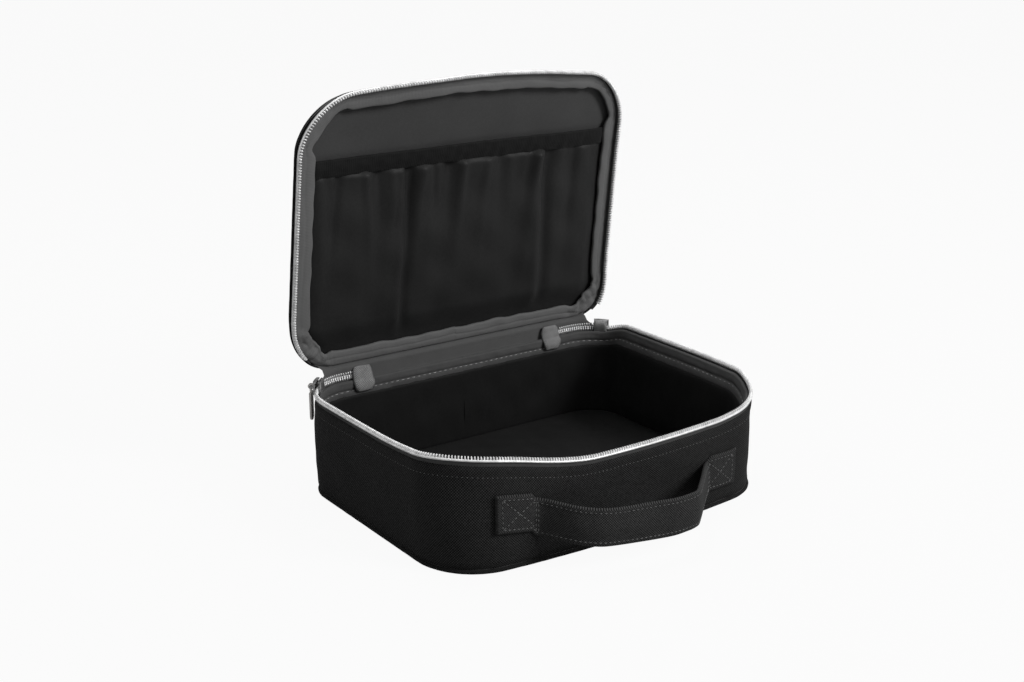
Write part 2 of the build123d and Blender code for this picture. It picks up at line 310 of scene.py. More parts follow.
@dataclass(frozen=True)
class Cloth:
    """Turns plain, shut shapes into the slack ones that cloth takes, and opens the lid."""

    plan: Plan
    levels: Levels
    sag: float = 9.5
    sag_middle: float = 23.0
    sag_reach: float = 129.0
    sag_edge: float = 1.6
    bulge: float = 1.5
    slack_from: float = 10.0
    corner_lift: float = 4.2
    corner: tuple[float, float] = (-122.0, -80.0)
    corner_reach: float = 40.0
    side_lift: float = 4.6
    spread_left: float = 2.8
    spread_right: float = 1.1
    calm_y: float = 86.0
    calm_reach: float = 30.0
    lean_left: float = 8.0
    lean_right: float = 4.0
    bunch: tuple[float, float] = (4.5, 3.0)
    bunch_at: tuple[float, float] = (122.0, 89.0)
    bunch_reach: float = 19.0
    pinch: float = 4.6

    def near(self, x: Array, y: Array, spot: tuple[float, float], reach: float) -> Array:
        """A Gaussian of the distance from a spot: 1 there, and near 0 beyond twice its reach."""
        return bell(np.hypot(x - spot[0], y - spot[1]) / reach)

    def slack(self, points: Array, half: Half) -> Array:
        """Let the rim sag and spread as cloth does, and keep the back corners, where the zip is, still.

        The front rim dips by an ease across it and an ease from front to back. The base's left front
        corner rises as a Gaussian, and its right side as a product of eases. The sides spread by an
        ease from the middle outwards. In the base all this fades to the floor as an ease of height,
        and its right side draws in between floor and rim by a product of eases. The lid shears
        sideways in proportion to the distance from its middle, front to back, and its right hinge
        corner bunches outwards as a Gaussian.

        Args:
            points: Places while the bag is shut, in millimetres.
            half: The half of the bag that they belong to.

        Returns:
            The places in the slack bag.
        """
        x, y, z = points[..., 0], points[..., 1], points[..., 2]
        base = half is Half.BASE
        rise = smooth(z / self.levels.chain_top) if base else 1.0
        calm = smooth((self.calm_y - y) / self.calm_reach)
        along = smooth((-y - self.slack_from) / (self.plan.depth / 2 - self.slack_from))
        across = smooth(self.sag_edge * (1 - np.abs(x - self.sag_middle) / self.sag_reach))
        side = smooth((x - 60.0) / 50.0) * smooth((y + 75.0) / 25.0) * smooth((self.calm_y - y) / 22.0)
        raised = self.near(x, y, self.corner, self.corner_reach)
        lift = (self.corner_lift * raised + self.side_lift * side) * base
        bow = -self.bulge * along * np.cos(np.clip(x / self.plan.width, -0.5, 0.5) * math.pi) ** 2
        spread = np.where(x < 0, -self.spread_left, self.spread_right)
        spread = spread * smooth(np.abs(x) / (self.plan.width / 2)) * smooth((y + 95.0) / 40.0) * calm * rise
        if base:
            belly = smooth(z / 18.0) * smooth((self.levels.tape_top - z) / 16.0)
            spread = spread - self.pinch * belly * smooth((x - 100.0) / 30.0) * calm
        else:
            share = np.clip(x / self.plan.width + 0.5, 0, 1)
            lean = self.lean_left + (self.lean_right - self.lean_left) * share
            swell = self.near(x, y, self.bunch_at, self.bunch_reach)
            spread = spread - lean * y / self.plan.depth + self.bunch[0] * swell
            bow = bow + self.bunch[1] * swell
        return points + np.stack([spread, bow * rise, (lift - self.sag * across * along) * rise], axis=-1)

    def opened(self, points: Array, share: Array | float = 1.0) -> Array:
        """Turn places about the fold at the top of the back.

        Args:
            points: Places while the bag is shut, in millimetres.
            share: Share of the lid's whole turn, for each place or for all.

        Returns:
            The places with the lid standing open.
        """
        turn = math.radians(self.levels.lid_open) * np.asarray(share)
        dy, dz = points[..., 1] - self.levels.fold_y, points[..., 2] - self.levels.fold_z
        y = self.levels.fold_y + dy * np.cos(turn) + dz * np.sin(turn)
        z = self.levels.fold_z - dy * np.sin(turn) + dz * np.cos(turn)
        return np.stack([points[..., 0], y, z], axis=-1)

    def placed(self, points: Array, half: Half) -> Array:
        """The places as they are in the standing bag, for either half."""
        slack = self.slack(points, half)
        return self.opened(slack) if half is Half.LID else slack


@dataclass
class Surface:
    """A grid of places with a pattern coordinate at each, both in millimetres."""

    grid: Array
    pattern: Array

    @classmethod
    def measured(cls, grid: Array) -> "Surface":
        """A surface whose pattern coordinates are its own lengths: along the columns, then the rows."""
        along = np.broadcast_to(lengths(grid, 1).mean(axis=0), grid.shape[:2])
        across = np.broadcast_to(lengths(grid, 0).mean(axis=1)[:, None], grid.shape[:2])
        return cls(grid, np.stack([along, across], axis=-1))

    def at(self, row: Array, column: Array) -> tuple[Array, Array]:
        """Places and unit normals between the grid's own, by bilinear interpolation.

        Args:
            row: Positions down the rows, in whole and part rows.
            column: Positions along the columns.

        Returns:
            Places and normals.
        """
        low = np.minimum(row.astype(int), self.grid.shape[0] - 2)
        left = np.minimum(column.astype(int), self.grid.shape[1] - 2)
        v, u = (row - low)[:, None], (column - left)[:, None]

        def mixed(values: Array) -> Array:
            """Each value mixed from its four neighbours."""
            upper = values[low, left] * (1 - u) + values[low, left + 1] * u
            lower = values[low + 1, left] * (1 - u) + values[low + 1, left + 1] * u
            return upper * (1 - v) + lower * v

        return mixed(self.grid), unit(mixed(sheet_normals(self.grid)))

    def thick(self, thickness: float | Array, closed: bool = False) -> "Surface":
        """Give a strip of cloth its thickness and rounded edges.

        Both faces lie half the thickness off the grid along its normals. Each long edge gets a place
        half a thickness beyond it, and an end that isn't joined to the other narrows to its line.

        Args:
            thickness: Thickness, for the whole strip or for each place.
            closed: Whether the last column meets the first.

        Returns:
            A closed skin round the strip.
        """
        grid, pattern = self.grid, self.pattern
        amount = np.broadcast_to(np.asarray(thickness, float), grid.shape[:2])[..., None]
        normal = sheet_normals(grid)
        if closed:
            normal[:, 0] = normal[:, -1] = unit(normal[:, 0] + normal[:, -1])
        half = normal * amount / 2
        near = grid[:1] - unit(grid[1:2] - grid[:1]) * amount[:1] / 2
        far = grid[-1:] + unit(grid[-1:] - grid[-2:-1]) * amount[-1:] / 2
        skin = np.vstack([near, grid + half, far, (grid - half)[::-1], near])
        marks = np.vstack([pattern[:1], pattern, pattern[-1:], pattern[::-1], pattern[:1]])
        if not closed:
            line = np.vstack([near, grid, far, grid[::-1], near])
            first = line[:, :1] - unit(line[:, 1:2] - line[:, :1]) * amount.max() / 2
            last = line[:, -1:] + unit(line[:, -1:] - line[:, -2:-1]) * amount.max() / 2
            skin = np.hstack([first, skin, last])
            marks = np.hstack([marks[:, :1], marks, marks[:, -1:]])
        return Surface(skin, marks)


def closed_up(mesh: bpy.types.Mesh, gap: float, flat_angle: float = 0.0) -> bpy.types.Mesh:
    """Join places nearer than a gap, which closes seams and poles, and turn the faces outwards.

    Args:
        mesh: The mesh, which is changed.
        gap: Distance below which places are joined, in metres.
        flat_angle: Angle below which faces are made one, or 0 to drop faces of no area instead.

    Returns:
        The same mesh.
    """
    shape = bmesh.new()
    shape.from_mesh(mesh)
    bmesh.ops.remove_doubles(shape, verts=shape.verts, dist=gap)
    if flat_angle:
        bmesh.ops.dissolve_limit(shape, angle_limit=flat_angle, verts=shape.verts, edges=shape.edges)
    else:
        bmesh.ops.dissolve_degenerate(shape, edges=shape.edges, dist=gap / 4)
    bmesh.ops.recalc_face_normals(shape, faces=shape.faces)
    for face in shape.faces:
        face.smooth = True
    shape.to_mesh(mesh)
    shape.free()
    return mesh


def woven_mesh(name: str, surfaces: Sequence[Surface]) -> bpy.types.Mesh:
    """Join surfaces into one mesh in metres; each grid becomes rows of four-sided faces.

    Args:
        name: Name of the mesh.
        surfaces: Grids of places, with their pattern coordinates.

    Returns:
        The closed mesh, with the pattern as its UV map.
    """
    faces, offset = [], 0
    for surface in surfaces:
        rows, columns = surface.grid.shape[:2]
        index = np.arange(rows * columns).reshape(rows, columns) + offset
        around = (index[:-1, :-1], index[:-1, 1:], index[1:, 1:], index[1:, :-1])
        faces.append(np.stack(around, axis=-1).reshape(-1, 4))
        offset += rows * columns
    faces = np.vstack(faces)
    places = np.vstack([surface.grid.reshape(-1, 3) for surface in surfaces]) * MILLIMETRE
    marks = np.vstack([surface.pattern.reshape(-1, 2) for surface in surfaces]) * MILLIMETRE
    mesh = bpy.data.meshes.new(name)
    mesh.vertices.add(len(places))
    mesh.vertices.foreach_set("co", places.astype(np.float32).ravel())
    mesh.loops.add(faces.size)
    mesh.loops.foreach_set("vertex_index", faces.astype(np.int32).ravel())
    mesh.polygons.add(len(faces))
    mesh.polygons.foreach_set("loop_start", np.arange(0, faces.size, 4, dtype=np.int32))
    mesh.update(calc_edges=True)
    layer = mesh.uv_layers.new(name="pattern")
    layer.data.foreach_set("uv", marks[faces.ravel()].astype(np.float32).ravel())
    return closed_up(mesh, JOINED)


def stood(name: str, data: Any) -> bpy.types.Object:
    """Put a mesh, lamp or camera in the scene as an object at the origin."""
    item = bpy.data.objects.new(name, data)
    bpy.context.scene.collection.objects.link(item)
    return item


def operator(operation: str, reflected: bool = False) -> Callable[["Signal", Any], "Signal"]:
    """An operator of Signal that adds one Math node.

    Args:
        operation: The Math node's operation.
        reflected: Whether the signal is the second value, as in 1 - mask.

    Returns:
        The operator's method.
    """

    def applied(self: "Signal", other: Any) -> "Signal":
        """Join this value and another."""
        return self.joined(operation, *((other, self) if reflected else (self, other)))

    return applied


@dataclass
class Signal:
    """A shader socket that takes part in sums; each operator adds one Math node."""

    shader: "Shader"
    socket: bpy.types.NodeSocket

    def joined(self, operation: str, *values: Any, clamp: bool = False) -> "Signal":
        """Add a Math node on some values."""
        settings = {"operation": operation, "use_clamp": clamp}
        node = self.shader.node("ShaderNodeMath", settings, dict(enumerate(values)))
        return Signal(self.shader, node.outputs[0])

    __add__ = __radd__ = operator("ADD")
    __sub__ = operator("SUBTRACT")
    __rsub__ = operator("SUBTRACT", reflected=True)
    __mul__ = __rmul__ = operator("MULTIPLY")

    def sine(self) -> "Signal":
        """Sine of the value as an angle in radians."""
        return self.joined("SINE", self)

    def power(self, exponent: float) -> "Signal":
        """The value raised to a power."""
        return self.joined("POWER", self, exponent)

    def above(self, threshold: float, softness: float) -> "Signal":
        """Ramp from 0 to 1 as the value passes a threshold."""
        return self.joined("MULTIPLY_ADD", self - threshold, 1 / softness, 0.5, clamp=True)


class Shader:
    """A material in the making: one surface shader and the nodes that feed it."""

    def __init__(self, name: str) -> None:
        """Start a material with an empty Principled shader."""
        self.material = bpy.data.materials.new(name)
        self.material.use_nodes = True
        self.tree = self.material.node_tree
        self.surface = self.tree.nodes["Principled BSDF"]

    def node(self, kind: str, settings: dict[str, Any] | None = None,
             values: dict[Any, Any] | None = None) -> bpy.types.Node:
        """Add a node of any type.

        Args:
            kind: The node's type name.
            settings: Properties that are set first, such as a Math node's operation.
            values: Numbers, colours or links for its input sockets, by name or position.

        Returns:
            The node.
        """
        node = self.tree.nodes.new(kind)
        for key, value in (settings or {}).items():
            setattr(node, key, value)
        for key, value in (values or {}).items():
            self.feed(node.inputs[key], value)
        return node

    def feed(self, socket: bpy.types.NodeSocket, value: Any) -> None:
        """Link a signal or socket to an input, or set it to a number or colour."""
        if isinstance(value, Signal):
            value = value.socket
        if isinstance(value, bpy.types.NodeSocket):
            self.tree.links.new(value, socket)
        elif isinstance(value, tuple):
            socket.default_value = (*value, 1.0)
        else:
            socket.default_value = value

    def pattern(self) -> tuple[Signal, Signal]:
        """The piece's own pattern coordinates, in metres: along it and across it."""
        chart = self.node("ShaderNodeUVMap", {"uv_map": "pattern"})
        split = self.node("ShaderNodeSeparateXYZ", None, {0: chart.outputs[0]})
        return Signal(self, split.outputs[0]), Signal(self, split.outputs[1])

    def noise(self, size: float, detail: float, roughness: float = 0.5) -> Signal:
        """Cloudy variation over the object.

        Args:
            size: Typical size of a patch, in millimetres.
            detail: Number of finer layers.
            roughness: How strong the finer layers are.

        Returns:
            A value of about 0 to 1.
        """
        place = self.node("ShaderNodeTexCoord").outputs["Object"]
        values = {"Vector": place, "Scale": 1 / (size * MILLIMETRE), "Detail": detail, "Roughness": roughness}
        return Signal(self, self.node("ShaderNodeTexNoise", None, values).outputs["Fac"])

    def colour(self, first: Colour, second: Colour, share: Signal) -> None:
        """Feed the colour with a mix of two by a share."""
        mix = self.node("ShaderNodeMix", {"data_type": "RGBA"}, {"Factor": share, 6: first, 7: second})
        self.feed(self.surface.inputs["Base Color"], mix.outputs[2])

    def relief(self, height: Signal, depth: float, strength: float) -> None:
        """Feed the normal from a height of 0 to 1 that stands for a depth in millimetres."""
        values = {"Height": height, "Distance": depth * MILLIMETRE, "Strength": strength}
        self.feed(self.surface.inputs["Normal"], self.node("ShaderNodeBump", None, values).outputs[0])

    def surfaced(self, **values: Any) -> None:
        """Feed sockets of the surface shader; a name's underscores stand for spaces."""
        for name, value in values.items():
            self.feed(self.surface.inputs[name.replace("_", " ")], value)


@dataclass(frozen=True)
class Finish:
    """A finish of the bag.

    Attributes:
        name: Name of the material.
        slot: The record's slot that it belongs to; not used.
        colour: Its main colour.
        second: Colour of raised threads, or of worn places.
    """

    name: str
    slot: str
    colour: Colour
    second: Colour

    def material(self) -> bpy.types.Material:
        """Make the material."""
        shader = Shader(self.name)
        self.paint(shader)
        return shader.material

    def paint(self, shader: Shader) -> None:
        """Add the finish's own nodes."""
        raise NotImplementedError


@dataclass(frozen=True)
class Woven(Finish):
    """Woven cloth, with paler flecks in slanting rows where a thread comes up.

    Attributes:
        thread: Twice the distance from thread to thread, in millimetres.
        depth: Height of the weave, in millimetres.
        roughness: Roughness of the raised threads.
        sheen: Strength of the soft sheen.
        contrast: Power that narrows the flecks.
        mottle: Strength of the cloudy variation.
        gloss: Strength of the plain reflection.
    """

    thread: float = 0.8
    depth: float = 0.12
    roughness: float = 0.7
    sheen: float = 0.02
    contrast: float = 1.8
    mottle: float = 0.35
    gloss: float = 0.05

    def paint(self, shader: Shader) -> None:
        """Set the weave: a sine along the threads times a sine across them, in slanting rows."""
        along, across = shader.pattern()
        pace = math.tau / (self.thread * MILLIMETRE)
        weave = ((along * pace).sine() * (across * pace).sine()) * 0.5 + 0.5
        cloud, fuzz = shader.noise(26.0, 3.0), shader.noise(1.6, 2.0)
        flecks = weave.power(self.contrast) * 0.9 + fuzz * 0.4 - 0.12
        shader.colour(self.colour, self.second, flecks * (cloud * self.mottle + (1 - self.mottle / 2)))
        shader.relief(weave * 0.8 + fuzz * 0.3, self.depth, 0.8)
        shader.surfaced(Roughness=1.0 - (1.0 - self.roughness) * (weave * 0.6 + 0.4), Sheen_Weight=self.sheen,
                        Sheen_Roughness=0.5, Specular_IOR_Level=self.gloss)


@dataclass(frozen=True)
class Ribbed(Finish):
    """Narrow tape with ribs across it.

    Attributes:
        rib: Distance from rib to rib, in millimetres.
        depth: Height of the ribs, in millimetres.
    """

    rib: float = 1.0
    depth: float = 0.12

    def paint(self, shader: Shader) -> None:
        """Set the ribs: a sine along the tape and a finer one across it, with clouds of wear."""
        along, across = shader.pattern()
        pace = math.tau / (self.rib * MILLIMETRE)
        ribs, wales = (along * pace).sine() * 0.5 + 0.5, (across * (2 * pace)).sine() * 0.5 + 0.5
        cloud = shader.noise(14.0, 3.0)
        shader.colour(self.colour, self.second, ribs * 0.35 + wales * 0.2 + cloud * 0.5)
        shader.relief(ribs * 0.7 + wales * 0.3, self.depth, 0.7)
        shader.surfaced(Roughness=cloud * 0.2 + 0.62, Sheen_Weight=0.05, Specular_IOR_Level=0.12)


@dataclass(frozen=True)
class Moulded(Finish):
    """Moulded plastic, hard thread or cast metal, with fine pits and handling marks.

    Attributes:
        roughness: Roughness where it isn't worn.
        metallic: Share of metal.
        grain: Size of the pits, in millimetres.
        depth: Depth of the pits, in millimetres.
    """

    roughness: float = 0.4
    metallic: float = 0.0
    grain: float = 0.5
    depth: float = 0.02

    def paint(self, shader: Shader) -> None:
        """Set fine noise for pits, and broader noise for duller, worn places."""
        pits = shader.noise(self.grain, 3.0)
        wear = shader.noise(6.0, 4.0, 0.7).above(0.55, 0.25)
        shader.colour(self.colour, self.second, wear)
        shader.relief(pits, self.depth, 0.5)
        shader.surfaced(Roughness=wear * 0.12 + pits * 0.08 + self.roughness, Metallic=self.metallic)


@dataclass(frozen=True)
class Finishes:
    """The bag's finishes."""

    shell: Finish = Woven("shell_polyester", "shell_fabric", grey(5), grey(68), thread=1.7, depth=0.14,
                          sheen=0.01, contrast=2.4)
    webbing: Finish = Woven("strap_polyester", "webbing", grey(14), grey(80), thread=1.6, depth=0.14,
                            sheen=0.01, contrast=2.2)
    tab: Finish = Woven("tab_weave", "binding_tape", grey(88), grey(160), thread=1.4, depth=0.2, sheen=0.01)
    piping: Finish = Woven("piping_cloth", "piping", grey(14), grey(52), thread=1.2, sheen=0.01)
    # The lid's lining is a far lighter copy of the black lining cloth in base_lining: painted sheen and light
    # where it faces the lamps.
    lining: Finish = Woven("lining_nylon_painted_sheen", "lining_fabric", grey(58), grey(75), depth=0.04, roughness=0.48,
                           gloss=0.1)
    pocket: Finish = Woven("pocket_nylon", "lining_fabric", grey(26), grey(48), thread=0.9, depth=0.04,
                           roughness=0.42, gloss=0.15)
    base_lining: Finish = Woven("base_lining", "lining_fabric", grey(20), grey(36), depth=0.04,
                                roughness=0.48, gloss=0.1)
    padding: Finish = Woven("foam", "padding", grey(70), grey(90), thread=2.4)
    binding: Finish = Ribbed("rim_binding", "binding_tape", grey(84), grey(108))
    base_binding: Finish = Ribbed("base_binding", "binding_tape", grey(62), grey(84))
    tape: Finish = Ribbed("zip_tape_weave", "zip_tape", grey(52), grey(76), rib=0.9)
    # The hinge cloth is a lighter copy of the zip tape: painted light where it faces up to the lamps between
    # lid and base.
    hinge: Finish = Ribbed("hinge_tape_painted_light", "zip_tape", grey(72), grey(90), rib=0.9)
    elastic: Finish = Ribbed("elastic_knit", "pocket_elastic", grey(14), grey(28), rib=1.4, depth=0.2)
    teeth: Finish = Moulded("silvered_teeth", "zip_teeth", grey(226), grey(190), 0.3, metallic=0.25)
    metal: Finish = Moulded("slider_nickel", "slider_metal", grey(170), grey(120), 0.3, metallic=0.9)
    pull: Finish = Moulded("pull_moulding", "pull_rubber", grey(236, 0.03), grey(220, 0.03), 0.5)
    thread: Finish = Moulded("seam_thread", "binding_tape", grey(88), grey(118), 0.8, grain=0.3, depth=0.05)
    pale_thread: Finish = Moulded("pale_thread", "binding_tape", grey(130), grey(165), 0.8, grain=0.3,
                                  depth=0.05)


@dataclass
class Workshop:
    """What every part of the bag is made with."""

    plan: Plan = field(default_factory=Plan)
    levels: Levels = field(default_factory=Levels)
    finishes: Finishes = field(default_factory=Finishes)
    column_step: float = 2.5
    made: dict[str, bpy.types.Material] = field(default_factory=dict)

    @cached_property
    def cloth(self) -> Cloth:
        """The rule for slack and for the opened lid."""
        return Cloth(self.plan, self.levels)

    @cached_property
    def rim(self) -> Track:
        """The outer outline."""
        return self.plan.track()

    def columns(self, start: float = 0.0, end: float | None = None) -> Array:
        """Even distances along the outer outline between two places on it, or all round it."""
        last = self.rim.length if end is None else end
        return np.linspace(start, last, int((last - start) / self.column_step))

    def place(self, name: str, mesh: bpy.types.Mesh, body: str, finish: Finish, *nodes: str,
              slot: str = "") -> bpy.types.Object:
        """Put a finished mesh in the scene as a piece.

        Args:
            name: Name of the piece.
            mesh: Its mesh, in metres.
            body: The body that it rides on, or nothing where it is blended later.
            finish: Its finish, whose material is made on first use.
            nodes: CAD nodes that it stands for.
            slot: The record's slot, where it isn't the finish's own; not used.

        Returns:
            The new object.
        """
        item = stood(name, mesh)
        if body:
            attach(item, body)
        if nodes:
            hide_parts(*nodes)
        if finish.name not in self.made:
            self.made[finish.name] = finish.material()
        mesh.materials.clear()
        mesh.materials.append(self.made[finish.name])
        LOG.info("%s: %d faces", name, len(mesh.polygons))
        return item

    def make(self, name: str, surfaces: Sequence[Surface], body: str, finish: Finish, *nodes: str,
             slot: str = "") -> bpy.types.Object:
        """Make a piece from surfaces; the rest is as in place."""
        return self.place(name, woven_mesh(name, surfaces), body, finish, *nodes, slot=slot)

    def wall(self, profile: Profile, rows: int, half: Half, start: float = 0.0,
             end: float | None = None) -> Surface:
        """Carry a profile of depths and heights round the outline.

        Args:
            profile: Depth and height from the distance along the outline and a share of 0 to 1 up it.
            rows: Number of places up the profile.
            half: The half of the bag that it belongs to.
            start: Distance along the outline where it starts.
            end: Distance where it ends, or the whole outline.

        Returns:
            The surface, without thickness.
        """
        along, up = np.meshgrid(self.columns(start, end), np.linspace(0, 1, rows))
        depth, height = profile(along, up)
        return Surface.measured(self.cloth.placed(lifted(self.rim.inside(along, depth), height), half))

    def strip(self, name: str, profile: Profile, rows: int, half: Half, thickness: float | Array,
              finish: Finish, *nodes: str, start: float = 0.0, end: float | None = None) -> bpy.types.Object:
        """Make a wall of cloth into a piece; it is closed unless it has an end."""
        surface = self.wall(profile, rows, half, start, end)
        return self.make(name, [surface.thick(thickness, end is None)], half.value, finish, *nodes)

    def board(self, name: str, inset: float, level: Level, thickness: float, half: Half,
              finish: Finish, *nodes: str, rows: int = 36) -> bpy.types.Object:
        """Make a flat layer with the bag's outline, closed round its edge.

        Each face runs from the middle to the outline at a depth as a share of the way. The level is a
        function of place and of that share, and the faces lie half a thickness above and below it.

        Args:
            name: Name of the piece.
            inset: Depth of its edge inside the outer face.
            level: Height of its middle from x, y and the share of the way out.
            thickness: Its thickness.
            half: The half of the bag that it belongs to.
            finish: Its finish.
            nodes: CAD nodes that it stands for.
            rows: Number of places from the middle to the edge.

        Returns:
            The new object.
        """
        along, out = np.meshgrid(self.columns(), np.linspace(0, 1, rows) ** 0.8)
        flat = self.rim.inside(along, inset + 0 * out) * out[..., None]
        middle = level(flat[..., 0], flat[..., 1], out)
        top, bottom = (lifted(flat, middle + side * thickness / 2) for side in (1, -1))
        edge = lifted(self.rim.inside(along[:1], inset - thickness / 2 + 0 * out[:1]), middle[-1:])
        skin = np.vstack([top, edge, bottom[::-1]])
        surface = Surface(self.cloth.placed(skin, half), skin[..., :2])
        return self.make(name, [surface], half.value, finish, *nodes)

    def cord(self, name: str, depth: float, height: float, radius: float, half: Half, node: str) -> None:
        """Make piping round the outline: a circle in the plane across it, whose size wanders a little.

        Args:
            name: Name of the piece.
            depth: Depth of its middle inside the outer face.
            height: Height of its middle while the bag is shut.
            radius: Its radius.
            half: The half of the bag that it belongs to.
            node: CAD node that it stands for.
        """
        along, turn = np.meshgrid(self.columns(), np.linspace(0, math.tau, 13))
        swell = radius * (1 + 0.04 * ripple(along, 0 * along, 9.0, 5))
        grid = lifted(self.rim.inside(along, depth - swell * np.cos(turn)), height + swell * np.sin(turn))
        surface = Surface(self.cloth.placed(grid, half), np.stack([along, turn * radius], axis=-1))
        self.make(name, [surface], half.value, self.finishes.piping, node)

    def seam(self, depth: Array | float, height: float, half: Half, facing: int) -> tuple[Array, Array]:
        """A line of stitching round the bag, and the way out of the cloth along it.

        The way out is where a place 1 mm nearer the outside, or the inside, ends up in the slack bag.

        Args:
            depth: Depth of the cloth's face, for each column or for all.
            height: Height of the line while the bag is shut.
            half: The half of the bag that it belongs to.
            facing: 1 on an outer face, -1 on an inner one.

        Returns:
            Places along the line and unit vectors out of the cloth.
        """
        along = self.columns()
        level = np.full(along.shape, height)
        flats = (self.rim.inside(along, depth - step + 0 * along) for step in (0, facing))
        here, there = (self.cloth.placed(lifted(flat, level), half) for flat in flats)
        return here, unit(there - here)


@dataclass(frozen=True)
class Stitches:
    """A row of stitches: short rounded threads with a gap between them."""

    length: float = 1.9
    gap: float = 1.1
    radius: float = 0.24
    sink: float = 0.05

    def solids(self, line: Array, out: Array) -> list[Surface]:
        """Stitches laid along a line.

        Each stitch is a small capsule, six-sided across and five places long. Its height follows a
        half sine, so that its ends dive into the cloth.

        Args:
            line: Places along the seam, in millimetres.
            out: Directions out of the cloth at those places.

        Returns:
            One surface for each stitch.
        """
        run = travelled(line)
        count = int(run[-1] / (self.length + self.gap))
        firsts = (np.arange(count) + 0.5) * run[-1] / count - self.length / 2
        share, turn = np.linspace(0, 1, 5), np.linspace(0, math.tau, 7)[:, None]
        spots = firsts[:, None] + share * self.length
        middle, up = read(spots, run, line), unit(read(spots, run, out))
        side = unit(np.cross(np.gradient(middle, axis=1), up))
        arch = np.sin(share * math.pi)
        size = self.radius * (0.25 + 0.75 * np.sqrt(arch))
        centre = (middle + up * ((arch - 0.5) * self.radius - self.sink)[:, None])[:, :, None]
        ring = side[:, :, None] * np.cos(turn) + up[:, :, None] * np.sin(turn)
        body = centre + ring * size[:, None, None]
        ends = np.broadcast_to(centre, body.shape)
        grids = np.concatenate([ends[:, :1], body, ends[:, -1:]], axis=1)
        return [Surface(grid, grid[..., :2]) for grid in grids]


@dataclass
class Part:
    """A sub-assembly, made with the workshop's tools; cloth, foam and lining have one thickness each."""

    shop: Workshop
    fabric: float = 1.0
    padding: float = 3.0
    lining: float = 0.8

    def build(self) -> None:
        """Make every piece of the part."""
        raise NotImplementedError


